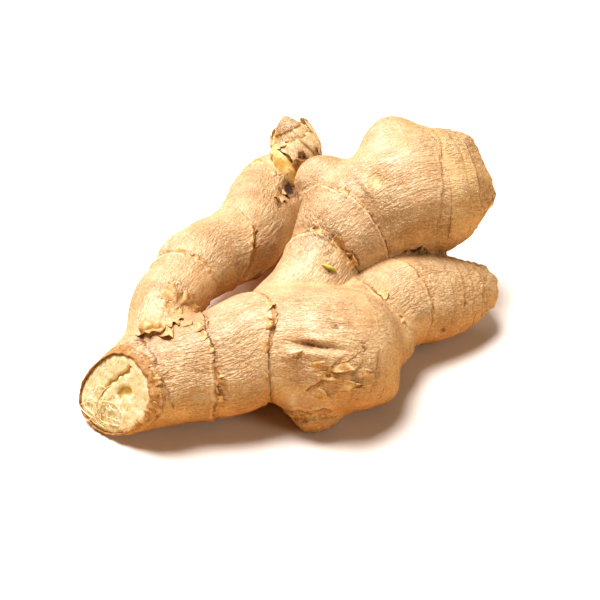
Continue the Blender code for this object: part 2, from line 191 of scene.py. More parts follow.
# %% Stations of the fingers
FINGERS = {
    "main": [
        (-63, -42, 9.5, 8), (-54, -39, 11.4, 12), (-44.5, -36, 15, 14.5),
        (-34.5, -33.8, 16.3, 15.3), (-23.5, -31.4, 17.3, 15.9), (-11.5, -26.5, 20, 16.5),
        (1.5, -26, 20, 17.5), (12, -27.5, 19.4, 17.6), (19.5, -26, 18, 11.5),
    ],
    "main_low_lobe": [(17.5, -30.5, 13, 10.5), (23, -30, 9, 7)],
    "main_high_lobe": [(22.5, -18.5, 15.5, 10), (28.5, -18, 14.5, 7.5)],
    "right": [
        (12.5, -19, 16.5, 12), (24.5, -7.5, 16.3, 12.9), (34, 0, 15.3, 14.3),
        (42, 3.5, 13.7, 14), (50, 6, 13, 11.6), (55, 8.3, 12.6, 9.3),
    ],
    "upper": [
        (-4.5, -12, 20, 12), (1, -5, 23, 11.5), (5, 2, 26, 11.5),
        (8.5, 9.5, 29, 12), (14, 15.5, 32, 15), (23.5, 22, 35, 17),
        (32.5, 26, 38, 19.5), (41, 29, 37.5, 19.8),
    ],
    "upper_crown": [(33.5, 27, 44, 12.5), (30.6, 37, 48.6, 10.7)],
    "upper_shoulder": [(14.5, 24.5, 36, 12.5), (8.5, 32.5, 38, 10.5)],
    "upper_tip": [(48.5, 29.5, 37.5, 11), (58.2, 30.3, 36, 5)],
    "upper_scale": [(47, 35.5, 46, 9.5), (51.5, 37, 49, 5.5)],
    "back": [
        (-43, -25, 21, 9.5), (-41.5, -12.5, 24, 10), (-38, -5, 25, 10),
        (-34.5, 4, 24.5, 10.5), (-29.5, 14, 23, 11.5), (-22, 22, 21, 12.5),
        (-16, 35.5, 18.5, 13.5), (-11.5, 61, 13.5, 13), (-9.5, 74, 10.5, 11),
    ],
    "back_elbow": [(-31.5, 8.5, 24, 9), (-35, 7.5, 27, 7.5)],
    "stub": [
        (-3.2, 59, 18.5, 2.5), (-2.8, 62, 22, 4.2), (-1.6, 66.5, 26.5, 7.6),
        (-2, 69.8, 30.5, 7.5), (-4, 71.5, 35, 4.5),
    ],
    "knob": [(3, -37, 13.5, 9), (4.5, -39.5, 5.6, 5.9)],
    "knob_toe": [(3, -38.8, 5.6, 5.2), (7, -38.6, 5.4, 5)],
}
FAMILIES = {
    "main": ("main", "main_low_lobe", "main_high_lobe"),
    "right": ("right",),
    "upper": ("upper", "upper_crown", "upper_shoulder", "upper_tip", "upper_scale"),
    "back": ("back", "back_elbow"),
    "stub": ("stub",),
    "knob": ("knob", "knob_toe"),
}
PATH_STEP = 1.0
PATH_SOFTNESS = 0.1
STEEP_SLOPE = 0.7
CENTRE_SHIFT = np.array([1.0, -17.0, 0.0])


def unit(vectors):
    """The vectors, each divided by its own length."""
    return vectors / np.linalg.norm(vectors, axis=-1, keepdims=True)


def smooth_path(stations):
    """Points about PATH_STEP apart on the Catmull-Rom curve through the stations."""
    knots = np.array(stations, dtype=float)
    padded = np.vstack([2.0 * knots[0] - knots[1], knots, 2.0 * knots[-1] - knots[-2]])
    pieces = []
    for index in range(len(knots) - 1):
        a, b, c, d = padded[index:index + 4]
        count = max(2, int(np.linalg.norm((c - b)[:3]) / PATH_STEP))
        u = np.linspace(0.0, 1.0, count, endpoint=False)[:, None]
        cubic = 2.0 * b + (c - a) * u + (2.0 * a - 5.0 * b + 4.0 * c - d) * u ** 2
        pieces.append(0.5 * (cubic + (3.0 * b - a - 3.0 * c + d) * u ** 3))
    return np.vstack(pieces + [knots[-1:]])


# %% [markdown]
# Each finger also needs its own sense of direction. A tangent runs along it, `top` points up across
# it and `side` finishes the frame, so a spot on the skin has three coordinates: how far along, how
# far towards the top and how far towards the side. Wrinkles, rings and scars are all set out in them.

# %% A finger and its coordinates
class Finger:
    """A path with its tangents, its run in millimetres and two axes across it."""

    def __init__(self, stations):
        path = smooth_path(stations)
        self.centres = path[:, :3]
        self.radii = path[:, 3]
        steps = np.linalg.norm(np.diff(self.centres, axis=0), axis=1)
        self.run = np.concatenate([[0.0], np.cumsum(steps)])
        self.tangents = unit(np.gradient(self.centres, axis=0))
        steep = abs(self.tangents[:, 2].mean()) > STEEP_SLOPE
        reference = np.array([0.0, 1.0, 0.0]) if steep else np.array([0.0, 0.0, 1.0])
        self.tops = unit(reference - self.tangents * (self.tangents @ reference)[:, None])
        self.sides = np.cross(self.tangents, self.tops)

    def gaps(self, points):
        """Distance from each point to the skin of every ball along the path."""
        square = (points ** 2).sum(1)[:, None] + (self.centres ** 2).sum(1)[None, :]
        return np.sqrt(np.maximum(square - 2.0 * points @ self.centres.T, 1e-9)) - self.radii

    def nearest(self, points):
        """Distance to the finger's skin and the direction away from its path."""
        gaps = self.gaps(points)
        pick = gaps.argmin(1)
        return gaps[np.arange(len(points)), pick], unit(points - self.centres[pick])

    def coordinates(self, points):
        """Run along the finger and the two offsets across it, smooth where the path bends."""
        gaps = self.gaps(points)
        share = np.exp(-(gaps - gaps.min(1)[:, None]) / PATH_SOFTNESS)
        share /= share.sum(1)[:, None]
        tangent = unit(share @ self.tangents)
        offset = points - share @ self.centres
        top = (offset * (share @ self.tops)).sum(1)
        side = (offset * (share @ self.sides)).sum(1)
        return share @ self.run + (offset * tangent).sum(1), top, side

    def spot(self, run, clock, lift=0.0):
        """The point at a run and a clock angle, in degrees from the top towards the side."""
        turn = np.radians(clock)[..., None]
        centre, top, side = (
            np.stack([np.interp(run, self.run, column[:, axis]) for axis in range(3)], axis=-1)
            for column in (self.centres, self.tops, self.sides)
        )
        reach = (np.interp(run, self.run, self.radii) + lift)[..., None]
        return centre + reach * (np.cos(turn) * top + np.sin(turn) * side)


# %% [markdown]
# ## One body out of many fingers
#
# Fingers that grew together meet in a crease, not in a sharp line. A smooth minimum of the distances
# to all fingers gives such a body as one formula, and it also says which finger owns each spot. The
# blend is a little softer inside a family, such as a bulb and its crown, than between families.

# %% The body as one formula
LOBE_BLEND = 2.0
JOINT_BLEND = 1.8


def blended(values, slopes, width):
    """Smooth minimum of several distances, with its slope and each one's share."""
    stack = np.array(values)
    low = stack.min(0)
    share = np.exp(-(stack - low) / width)
    total = share.sum(0)
    share /= total
    return low - width * np.log(total), (share[:, :, None] * np.array(slopes)).sum(0), share


class Body:
    """The smooth union of all fingers."""

    def __init__(self):
        self.fingers = {name: Finger(stations) for name, stations in FINGERS.items()}

    def field(self, points):
        """Signed distance to the body, its slope and each family's share."""
        values = []
        slopes = []
        for members in FAMILIES.values():
            near = [self.fingers[name].nearest(points) for name in members]
            value, slope, _ = blended([n[0] for n in near], [n[1] for n in near], LOBE_BLEND)
            values.append(value)
            slopes.append(slope)
        return blended(values, slopes, JOINT_BLEND)

    def settle(self, points, rounds):
        """Move points down the slope until they lie on the body's skin."""
        for _ in range(rounds):
            value, slope, _ = self.field(points)
            points = points - (value / (slope ** 2).sum(1))[:, None] * slope
        return points


body = Body()
print("fingers:", {name: round(float(finger.run[-1]), 1) for name, finger in body.fingers.items()})

# %% [markdown]
# ## Relief of the skin
#
# Cork skin is never smooth. Lumps come from isotropic noise. Wrinkles are the same noise stretched
# along the finger, because the skin shrinks across it as it dries. The lattice noise is a table of
# random numbers read with a smooth fade, so the same seed gives the same ginger every time.

# %% Lattice noise
LATTICE_SIZE = 32


def lattice_noise(points, seed):
    """Smooth random values from -1 to 1: trilinear reading of a random table, one cell to a unit."""
    size = LATTICE_SIZE
    table = np.random.default_rng(seed).uniform(-1.0, 1.0, (size, size, size))
    cell = np.floor(points).astype(int)
    part = points - cell
    ease = part * part * (3.0 - 2.0 * part)
    total = np.zeros(len(points))
    for corner in range(8):
        bits = np.array([corner & 1, corner >> 1 & 1, corner >> 2 & 1])
        x, y, z = ((cell + bits) % size).T
        total += np.where(bits, ease, 1.0 - ease).prod(1) * table[x, y, z]
    return total


def wavering(values, seed):
    """Lattice noise along a single axis."""
    return lattice_noise(np.column_stack([values, values * 0.0, values * 0.0]), seed)


def smooth_step(value, start, end):
    """0 before start, 1 past end, and a smooth rise between them."""
    part = np.clip((value - start) / (end - start), 0.0, 1.0)
    return part * part * (3.0 - 2.0 * part)


# %% [markdown]
# A node ring is where a scale leaf was joined on: the skin stands up to a ragged edge, then drops
# into a groove. Rings lean, and some run only part of the way round. Scars, eyes and nubs are smooth
# bumps at a run and a clock angle. The tables repeat those of the CAD model and add finer ones.

# %% Rings and scars
RINGS = (
    # finger, run, lean to the top and to the side, strength, clock and half-width of a part ring
    ("main", 23.7, -0.2, 1.7, 0.5, 35, 45),
    ("main", 38.4, 2.3, -0.6, 0.9, 0, 0),
    ("main", 50.5, 7.5, 2.7, 0.9, 0, 0),
    ("main", 71.5, 10.7, 1.9, 0.8, 95, 40),
    ("right", 11.5, 1.5, -1.5, 1.1, 52, 72),
    ("right", 26.5, 1, 1.5, 0.5, 0, 0),
    ("right", 38.7, 0.3, 0, 0.22, 0, 0),
    ("right", 44.6, 0.6, -1.1, 0.25, 0, 0),
    ("upper", 21.8, 3.8, 1.9, 1.4, -20, 95),
    ("upper", 36.5, 2.1, 4.9, 0.9, 0, 0),
    ("upper", 67.5, 0.5, -5, 0.6, 0, 0),
    ("upper", 73, 0.5, 0, 0.35, 0, 0),
    ("main", 80.5, 2, 2, 0.4, 80, 30),
    ("main", 85, 2, 1.5, 0.45, 75, 32),
    ("back", 23.4, 2.1, 1.2, 1.6, 0, 0),
    ("back", 50.9, 5, -3.5, 1.4, 0, 0),
    ("back", 86.7, 0.9, -5.7, 1, 0, 0),
    ("back", 101, 1, 1, 0.6, 0, 0),
    ("knob", 4, 0.5, 0.5, 0.8, 0, 0),
    ("knob", 6, 0.8, -0.4, 0.5, 0, 0),
    ("knob", 7.6, 0.4, 0.6, 0.7, 0, 0),
    ("right", 48.2, 0.8, -0.6, 0.25, 0, 0),
    ("right", 51, 0.5, 0.4, 0.4, 0, 0),
    ("upper", 77.5, 0.6, 0.8, 0.6, 0, 0),
)
SCARS = {
    # finger: run, clock, half-length, half-width, height, how dark it is
    "main": (
        (23.4, -14, 2.2, 3.6, 1.7, 0.2), (21.2, -8, 1.3, 3.4, -1.4, 0.8),
        # The long hollow at run 72 is painted dark: partly its own brown, partly painted shade in its
        # groove.
        (72, 47, 6.8, 1.1, -2, 0.62), (72, 53.5, 6.8, 1.3, 1.2, 0), (73.5, 41.5, 4.5, 1.2, 0.6, 0),
        (77, 26, 1.5, 1.2, -0.8, 0.8), (79, 20, 1.6, 1.2, 0.5, 0.1), (64.4, 59, 1.6, 1.2, 0.6, 0),
        (84.7, 42, 2.2, 2.2, -0.5, 0.4), (56, -45, 5, 8, 0.9, 0), (57, 105, 6, 6, 1.2, 0),
        (25.3, 42, 1.2, 1.4, 0.5, 0.3), (21.3, 52, 1.6, 1.4, -0.6, 0.9),
    ),
    "right": (
        (30, 49, 1.2, 1.2, -0.4, 0.4), (44.2, 64, 1.4, 1, -0.4, 0.7),
        (36, 97, 1.6, 1.2, -0.5, 0.8), (56.5, 51, 3.5, 3.5, 0.6, 0.3),
    ),
    "upper": (
        (50, 21, 1.9, 3, -1.5, 0.2), (46.8, 21, 1.2, 3.2, 0.5, 0), (27.2, 36, 1.3, 1.9, -1, 0.85),
        (25.4, 58, 1.4, 2.6, -0.9, 0.85), (14.6, 38, 0.9, 3, -0.5, 0.5),
        (85, 82, 2.4, 2.4, 0.7, 0.9),
    ),
    "back": (
        (77.7, 36, 1.8, 2.4, -0.7, 1), (70.2, 40, 3.2, 1.6, -0.6, 0.9),
        (28.5, -50, 2, 3, 0.7, 0.1), (41, -75, 4.5, 6, -1, 0), (4.6, 38, 3.5, 3.5, -0.4, 0.4),
        # The dark hollow at run 84.5 is the crease at the foot of the shoot, painted near black:
        # painted shade.
        (51.6, 118, 3, 1.6, 0.9, 1), (84.5, 46.5, 5.5, 3.2, -1.6, 1.7),
        (80, 50, 3.5, 1.5, -0.7, 1.1),
    ),
    "stub": (
        # The dark bands at runs 8.5, 10.3 and 12.8 lie under the leaf edges: painted shadow.
        (12, -95, 1.5, 2.2, 1.4, 0), (8.5, 180, 1, 3, -0.6, 1), (10.3, -155, 1, 2.6, -0.6, 0.9),
        (12.8, -130, 1, 2.6, -0.5, 0.9),
    ),
}
TINTS = {
    # kind, finger: run, clock, half-length, half-width and, where it is not 1, strength
    "scaly": {
        "main": ((28, -20, 7, 5), (79, 76, 6, 6), (84, 96, 6, 7), (20, 72, 3, 10), (42, 112, 9, 5)),
        "right": ((49, 60, 4, 10),),
        "upper": ((21, 42, 5, 7), (76, 82, 5, 8), (40, -10, 4, 5)),
        "back": ((6.5, 30, 5, 7), (8.5, 50, 4, 5), (74, 38, 5, 3), (89, 38, 3, 4)),
        "stub": ((7.5, -165, 4.5, 8),),
    },
    "ochre": {
        "upper": ((68.5, 20, 2.4, 22, 0.35), (75, 40, 3, 12, 0.3), (49.8, 21.5, 1.9, 3, 0.5)),
        "stub": ((10, 128, 10, 7, 1), (17, -172, 4.5, 8, 0.55)),
    },
}
PALE_RINGS = (67.5, 73.0)
PALE_POWER = 0.12
RING_LIP = 0.18
RING_STEP = 0.45
RING_GROOVE = 0.45
RING_WIDTH = 0.7
RING_FADE = 7.0
RING_RAGGED = ((1.2, 6.5), (0.55, 2.3))
RAGGED_SEED = 51


def clock_window(top, side, clock, spread):
    """1 at a clock angle round the finger, fading to 0 past the spread on both sides."""
    turn = (np.degrees(np.arctan2(side, top)) - clock + 180.0) % 360.0 - 180.0
    return np.exp(-(turn / spread) ** 4)


def leaning(top, side, start, lean_top, lean_side):
    """Run of a leaning line: start + (lean_top x top + lean_side x side) / their hypotenuse."""
    return start + (lean_top * top + lean_side * side) / (np.hypot(top, side) + 1e-6)


def frayed(line, points):
    """The run of a line with its ragged waves, large and small, added."""
    for layer, (size, wavelength) in enumerate(RING_RAGGED):
        line = line + size * lattice_noise(points / wavelength, RAGGED_SEED + layer)
    return line


def ring_gap(points, run, top, side, ring):
    """How far past a ring's ragged line each point is, and how strong the ring is there."""
    _, start, lean_top, lean_side, strength, clock, spread = ring
    line = frayed(leaning(top, side, start, lean_top, lean_side), points)
    window = clock_window(top, side, clock, spread) if spread else 1.0
    return run - line, strength * window


def ring_height(gap):
    """Profile across a ring: the sheath's step, its raised edge, then the groove."""
    lip = RING_LIP * np.exp(-((gap + RING_WIDTH) / RING_WIDTH) ** 2)
    groove = RING_GROOVE * np.exp(-((gap - 0.7 * RING_WIDTH) / RING_WIDTH) ** 2)
    sheath = RING_STEP * np.exp(np.minimum(gap, 0.0) / RING_FADE)
    return lip + sheath * (1.0 - smooth_step(gap, -RING_WIDTH, RING_WIDTH)) - groove


def scar_window(finger, run, top, side, scar):
    """A smooth oval patch on the skin, 1 in its middle."""
    start, clock, half_length, half_width = scar[:4]
    across = np.hypot(top, side) + 1e-6
    turn = math.radians(clock)
    chord = np.hypot(top / across - math.cos(turn), side / across - math.sin(turn))
    chord = chord * np.interp(start, finger.run, finger.radii)
    return np.exp(-((run - start) / half_length) ** 2 - (chord / half_width) ** 2)


# %% [markdown]
# The whole relief is a sum: lumps, long wrinkles, short fine wrinkles, rings, scars, the torn ends
# and the stub's papery collar. The fine wrinkles are ridged, which turns soft noise into the sharp
# little folds of drying cork. The same pass keeps what the paint needs to know about each vertex.

# %% Relief and skin facts
LUMPS = ((0.75, 15.0), (0.30, 7.0))
LUMP_SEED = 11
ROUGH_SEED = 71
# height, width, stretch along the finger and seed of the long and of the fine, ridged wrinkles
WRINKLES = ((0.22, 3.2, 5.0, 31), (0.20, 1.5, 4.5, 131))
RIDGED_BELOW = 2.0
FINE_CLOUDS = 9.0
CALM_SHARE = 0.75
WEAKEST_RING = 0.1
FAR = 9.0
ROUGH_ENDS = {"stub": (15.5, 0.45), "knob": (3.5, 0.5), "right": (50.5, 0.5), "upper": (77, 0.4)}
END_FADE = 3.0
SCALY_ROUGHNESS = 0.28
ROUGH_WAVELENGTHS = (3.0, 1.4)
COLLAR_LINE = (10.0, 2.5, -3.0)
COLLAR_HEIGHT = 1.0
COLLAR_CLOCK = -150.0
COLLAR_SPREAD = 70.0
SMOOTH_PATCHES = {
    # finger: run, clock, half-length, half-width, where the skin is taut and bare of wrinkles
    "main": ((62, -10, 9, 12),),
    "right": ((20, 5, 9, 9),),
    "upper": ((37, -40, 12, 14), (58, -30, 9, 14)),
    "stub": ((9, 140, 9, 6),),
}


def collar_height(run, top, side):
    """The papery collar of the shoot stub: a step up that starts along a leaning line."""
    rise = smooth_step(run - leaning(top, side, *COLLAR_LINE), -0.6, 0.8)
    return COLLAR_HEIGHT * rise * clock_window(top, side, COLLAR_CLOCK, COLLAR_SPREAD)


def relief(points, shares, facts=None):
    """Height of the skin over the body. facts, if given, collects masks and distances for paint."""
    height = np.zeros(len(points))
    for layer, (size, wavelength) in enumerate(LUMPS):
        height += size * lattice_noise(points / wavelength, LUMP_SEED + layer)
    waves = enumerate(ROUGH_WAVELENGTHS)
    rough = sum(lattice_noise(points / wave, ROUGH_SEED + layer) for layer, wave in waves)
    ring_near = np.full(len(points), FAR)
    ring_power = np.zeros(len(points))
    dark = np.zeros(len(points))
    tints = {kind: np.zeros(len(points)) for kind in TINTS}
    dry = np.zeros(len(points))
    grain = np.zeros((len(points), 3))
    owner = shares.argmax(0)
    for index, family in enumerate(FAMILIES):
        finger = body.fingers[family]
        run, top, side = finger.coordinates(points)
        local = np.zeros(len(points))
        calm = np.ones(len(points))
        for patch in SMOOTH_PATCHES.get(family, ()):
            calm -= CALM_SHARE * scar_window(finger, run, top, side, patch)
        for size, width, stretch, seed in WRINKLES:
            striped = np.stack([top, side, run / stretch], axis=1) / width
            folds = lattice_noise(striped, seed + index)
            if width < RIDGED_BELOW:
                folds = 0.6 - 1.6 * np.abs(folds)
                folds *= 0.6 + 0.6 * lattice_noise(points / FINE_CLOUDS, seed + 50)
            local += size * folds * calm
        for ring in RINGS:
            if ring[0] == family:
                gap, strength = ring_gap(points, run, top, side, ring)
                local += strength * ring_height(gap)
                nearer = (np.abs(gap) < np.abs(ring_near)) & (owner == index)
                nearer &= strength > WEAKEST_RING
                ring_near = np.where(nearer, gap, ring_near)
                power = PALE_POWER if ring[1] in PALE_RINGS else strength
                ring_power = np.where(nearer, power, ring_power)
        for scar in SCARS.get(family, ()):
            window = scar_window(finger, run, top, side, scar)
            local += scar[4] * window
            dark = np.maximum(dark, scar[5] * window * shares[index])
        for kind, patches in TINTS.items():
            for patch in patches.get(family, ()):
                window = scar_window(finger, run, top, side, patch)
                strength = patch[4] if len(patch) > 4 else 1.0
                tints[kind] = np.maximum(tints[kind], strength * window * shares[index])
                if kind == "scaly":
                    local += SCALY_ROUGHNESS * rough * window
        if family in ROUGH_ENDS:
            start, size = ROUGH_ENDS[family]
            end = smooth_step(run, start, start + END_FADE)
            local += size * rough * end
            dry = np.maximum(dry, end * shares[index])
        if family == "stub":
            local += collar_height(run, top, side)
        height += shares[index] * local
        mine = (owner == index)[:, None]
        grain = np.where(mine, np.stack([top, side, run + 90.0 * index], axis=1), grain)
    if facts is not None:
        second, first = np.sort(shares, axis=0)[-2:]
        firm = smooth_step(first - second, 0.1, 0.5)
        facts.update(ring=ring_near, ring_power=ring_power, dark=dark, dry=dry, **tints)
        facts.update(grain=grain, firm=firm)
    return height


# %% [markdown]
# ## Meshes from arrays
#
# A profile carried along a path gives every long thin thing: a circle at each point of the path, set
# across its direction. The same function makes the fingers, the threads, the roots and the sprout.

# %% Mesh makers
PAPER_WALL = 0.12


def read_rows(items, field, width=3, kind=float):
    """One field of all items of a mesh, as rows of width numbers."""
    flat = np.empty(len(items) * width, dtype=kind)
    items.foreach_get(field, flat)
    return flat.reshape(-1, width)


def keep(thing, material):
    """Hold a finished piece inside the CAD box, give it its material and let it ride along."""
    held = np.clip(read_rows(thing.data.vertices, "co"), *cad_box)
    thing.data.vertices.foreach_set("co", held.ravel())
    thing.data.update()
    thing.data.materials.clear()
    thing.data.materials.append(material)
    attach(thing, "root")
    print(f"{thing.name}: {len(thing.data.polygons)} faces")
    return thing


def make_object(name, points, faces):
    """A linked object whose mesh holds the points, given in the fingers' frame, and the faces."""
    mesh = bpy.data.meshes.new(name)
    mesh.from_pydata((np.asarray(points) + CENTRE_SHIFT) * MM, [], np.asarray(faces).tolist())
    mesh.validate()
    mesh.shade_smooth()
    thing = bpy.data.objects.new(name, mesh)
    bpy.context.scene.collection.objects.link(thing)
    return thing


def grid_faces(rows, columns, closed):
    """Quads of a grid of points, its last column joined to its first where closed."""
    row, column = np.meshgrid(np.arange(rows - 1), np.arange(columns - (not closed)), indexing="ij")
    after = (column + 1) % columns
    corners = (row * columns + column, row * columns + after)
    return np.stack([*corners, corners[1] + columns, corners[0] + columns], -1).reshape(-1, 4)


def swept(centres, radii, tops, around):
    """Points and quads of an open tube: centre + radius x (cos a x top + sin a x side)."""
    tangents = unit(np.gradient(centres, axis=0))
    tops = unit(tops - tangents * (tops * tangents).sum(1)[:, None])
    sides = np.cross(tangents, tops)
    turn = np.linspace(0.0, 2.0 * math.pi, around, endpoint=False)[None, :, None]
    arms = np.cos(turn) * tops[:, None] + np.sin(turn) * sides[:, None]
    points = centres[:, None] + radii[:, None, None] * arms
    return points.reshape(-1, 3), grid_faces(len(centres), around, closed=True)


def rounded(distance):
    """Share of a tube's full radius near its end, for a round tip: the root of the distance."""
    return np.sqrt(np.clip(distance, 0.01, 1.0))


def paper_wall(thing):
    """Give a sheet the thickness of a dried scale leaf."""
    wall = thing.modifiers.new("Paper", "SOLIDIFY")
    wall.thickness = PAPER_WALL * MM
    wall.offset = 0.0


def joined(parts):
    """Several lots of points and faces as one."""
    counts = np.cumsum([0] + [len(points) for points, _ in parts])
    faces = [faces + start for (_, faces), start in zip(parts, counts)]
    return np.vstack([points for points, _ in parts]), np.vstack(faces)


def domed(finger, steps=(30.0, 55.0, 75.0, 89.0)):
    """The finger's path with shrinking rings past both ends, so that its tube closes in a dome."""
    rise = np.sin(np.radians(steps))[:, None]
    shrink = np.cos(np.radians(steps))
    first = finger.centres[0] - finger.tangents[0] * rise * finger.radii[0]
    last = finger.centres[-1] + finger.tangents[-1] * rise * finger.radii[-1]
    centres = np.vstack([first[::-1], finger.centres, last])
    ends = (finger.radii[0] * shrink[::-1], finger.radii, finger.radii[-1] * shrink)
    count = len(steps)
    tops = finger.tops[np.r_[[0] * count, np.arange(len(finger.tops)), [-1] * count]]
    return centres, np.concatenate(ends), tops


# %% [markdown]
# ## The skin
#
# The tubes overlap, so they are first fused to one closed surface by a voxel Remesh. Its even little
# faces are then drawn onto the body's formula, evened out along the surface, and raised by the
# relief. A sculpted mesh would look as good, but this one can be grown again at any fineness.

# %% Fuse the tubes
SKIN_VOXEL = 0.68
TUBE_SIDES = 20
SETTLE_ROUNDS = 4
RELAX_ROUNDS = 3


def apply_modifiers(thing):
    """Replace the object's mesh by its evaluated mesh and drop its modifiers."""
    graph = bpy.context.evaluated_depsgraph_get()
    mesh = bpy.data.meshes.new_from_object(thing.evaluated_get(graph))
    old = thing.data
    thing.modifiers.clear()
    thing.data = mesh
    bpy.data.meshes.remove(old)


def read_points(mesh):
    """The mesh's vertices in millimetres, in the fingers' frame."""
    return read_rows(mesh.vertices, "co") / MM - CENTRE_SHIFT


def write_points(mesh, points):
    """Set the mesh's vertices from millimetres in the fingers' frame."""
    mesh.vertices.foreach_set("co", ((points + CENTRE_SHIFT) * MM).ravel())
    mesh.update()


def relaxed(points, edges, slopes):
    """Points moved halfway to their neighbours' mean, along the skin only."""
    total = np.zeros_like(points)
    count = np.zeros(len(points))
    for start, end in ((edges[:, 0], edges[:, 1]), (edges[:, 1], edges[:, 0])):
        np.add.at(total, start, points[end])
        np.add.at(count, start, 1.0)
    move = 0.5 * (total / count[:, None] - points)
    normals = unit(slopes)
    return points + move - normals * (move * normals).sum(1)[:, None]


tubes = [swept(*domed(finger), TUBE_SIDES) for finger in body.fingers.values()]
skin = make_object("skin", *joined(tubes))
remesh = skin.modifiers.new("Fuse", "REMESH")
remesh.mode = "VOXEL"
remesh.voxel_size = SKIN_VOXEL * MM
apply_modifiers(skin)

edges = read_rows(skin.data.edges, "vertices", 2, np.int32)
points = body.settle(read_points(skin.data), SETTLE_ROUNDS)
for _ in range(RELAX_ROUNDS):
    points = body.settle(relaxed(points, edges, body.field(points)[1]), 1)
_, slopes, shares = body.field(points)
write_points(skin.data, points + unit(slopes) * relief(points, shares)[:, None])
print("skin grown:", len(points), "vertices")

# %% [markdown]
# The knife cut and the flats on the ground are plane cuts, as in the CAD model. At the knife the
# skin stops a little short of the true plane, because its dried edge and the flesh are pieces of
# their own that fill the last millimetre.

# %% Knife and ground
CUT_POINT = np.array([-56.4, -42.1, 11.1])
CUT_NORMAL = unit(np.array([-0.60, -0.72, 0.36]))
CUP_DEPTH = 1.0


def slice_off(mesh, point, normal):
    """Cut away what lies past a plane, given in the fingers' frame, and close the cut."""
    bm = bmesh.new()
    bm.from_mesh(mesh)
    everything = bm.verts[:] + bm.edges[:] + bm.faces[:]
    place = Vector((point + CENTRE_SHIFT) * MM)
    plane = {"plane_co": place, "plane_no": Vector(normal)}
    bmesh.ops.bisect_plane(bm, geom=everything, clear_outer=True, **plane)
    bmesh.ops.holes_fill(bm, edges=[edge for edge in bm.edges if edge.is_boundary])
    bm.to_mesh(mesh)
    bm.free()


slice_off(skin.data, CUT_POINT - CUP_DEPTH * CUT_NORMAL, CUT_NORMAL)
slice_off(skin.data, np.zeros(3), np.array([0.0, 0.0, -1.0]))
skin.name = "ginger_skin_grown"
skin.data.shade_smooth()

# %% [markdown]
# ## What the paint needs to know
#
# Each vertex carries a few facts: its coordinates along its finger, how far it is past the nearest
# node ring, how dark or dry it is, how far it is from the knife and how much it faces the ground.
# The darkness is partly a scar's own brown and partly painted shade in hollows and crevices; how
# much a vertex faces the ground becomes painted shade below.
# `firm` falls to nought where two fingers meet, so that their folds don't end on a hard line. The
# shader sharpens the facts with fine noise, so a ring is crisper than its vertices are apart.

# %% Facts on the vertices
def set_fact(mesh, name, values):
    """Keep one number or one vector at each vertex."""
    kind, field = ("FLOAT", "value") if values.ndim == 1 else ("FLOAT_VECTOR", "vector")
    mesh.attributes.new(name, kind, "POINT").data.foreach_set(field, values.ravel())


places = read_points(skin.data)
facts = {}
relief(places, body.field(places)[2], facts)
facing = read_rows(skin.data.vertex_normals, "vector")
# How much each vertex faces down: the paint turns this into painted shade below.
facts["under"] = smooth_step(-facing[:, 2], -0.35, 0.75)
facts["knife"] = -((places - CUT_POINT) @ CUT_NORMAL)
for label, values in facts.items():
    set_fact(skin.data, label, values)
print("facts:", {label: values.shape for label, values in facts.items()})

# %% [markdown]
# ## Shared effects
#
# Three effects come back several times, so each is a node group: cork grain, soft colour
# patches, and a torn line that turns a distance into a ragged edge.

# %% Node groups
grain_group, ins, outs = new_group(
    "cork_grain",
    {"Along": "Vector", "Width": "Float", "Stretch": "Float"},
    {"Folds": "Float", "Ridges": "Float"},
)
sizes = add(grain_group, "CombineXYZ", {0: 1.0, 1: 1.0, 2: ins["Stretch"]}).outputs[0]
along = {0: ins["Along"], 1: sizes}
stretched = add(grain_group, "VectorMath", along, operation="DIVIDE").outputs[0]
per_unit = maths(grain_group, "DIVIDE", 1.0, ins["Width"])
folds = noise(grain_group, stretched, per_unit, 3.0)
grain_group.links.new(fade(grain_group, folds, 0.3, 0.7), outs["Folds"])
middle = maths(grain_group, "ABSOLUTE", maths(grain_group, "SUBTRACT", folds, 0.5))
grain_group.links.new(fade(grain_group, middle, 0.06, 0.0), outs["Ridges"])

patch_group, ins, outs = new_group(
    "soft_patches",
    {"Place": "Vector", "Size": "Float", "Low": "Color", "High": "Color"},
    {"Color": "Color"},
)
cloud = noise(patch_group, ins["Place"], maths(patch_group, "DIVIDE", 1.0, ins["Size"]), 3.0)
mixed = over(patch_group, fade(patch_group, cloud, 0.35, 0.65), ins["Low"], ins["High"])
patch_group.links.new(mixed, outs["Color"])

line_group, ins, outs = new_group(
    "torn_line", {"Distance": "Float", "Width": "Float", "Place": "Vector"}, {"Mask": "Float"}
)
wander = maths(line_group, "SUBTRACT", noise(line_group, ins["Place"], 1.3, 3.0), 0.5)
moved = maths(line_group, "ADD", ins["Distance"], maths(line_group, "MULTIPLY", wander, 1.3))
ratio = maths(line_group, "DIVIDE", maths(line_group, "ABSOLUTE", moved), ins["Width"])
line_group.links.new(fade(line_group, ratio, 0.5, 1.2, 1.0, 0.0), outs["Mask"])


def cork_grain(tree, along, width, stretch, output="Folds"):
    """Folds or ridges of a width in millimetres, drawn out along the finger."""
    inputs = {"Along": along, "Width": width, "Stretch": stretch}
    return use_group(tree, grain_group, inputs)[output]


def soft_patches(tree, place, size, low, high):
    """Two colours in cloudy patches of a size in millimetres."""
    inputs = {"Place": place, "Size": size, "Low": low, "High": high}
    return use_group(tree, patch_group, inputs)["Color"]


def torn_line(tree, distance, width, place):
    """Mask of a ragged line: 1 where the distance, moved by noise, is small against the width."""
    inputs = {"Distance": distance, "Width": width, "Place": place}
    return use_group(tree, line_group, inputs)["Mask"]


def soft_finish(name, roughness, specular, size, low, high, bruise=None):
    """A material of soft patches, darker in clouds where a bruise colour is given."""
    material, tree, shader = new_material(name, roughness, specular)
    place = millimetres(tree)
    colour = soft_patches(tree, place, size, low, high)
    if bruise:
        colour = over(tree, fade(tree, noise(tree, place, 0.5, 3.0), 0.58, 0.70), colour, bruise)
    fill(shader, {"Base Color": colour})
    return material
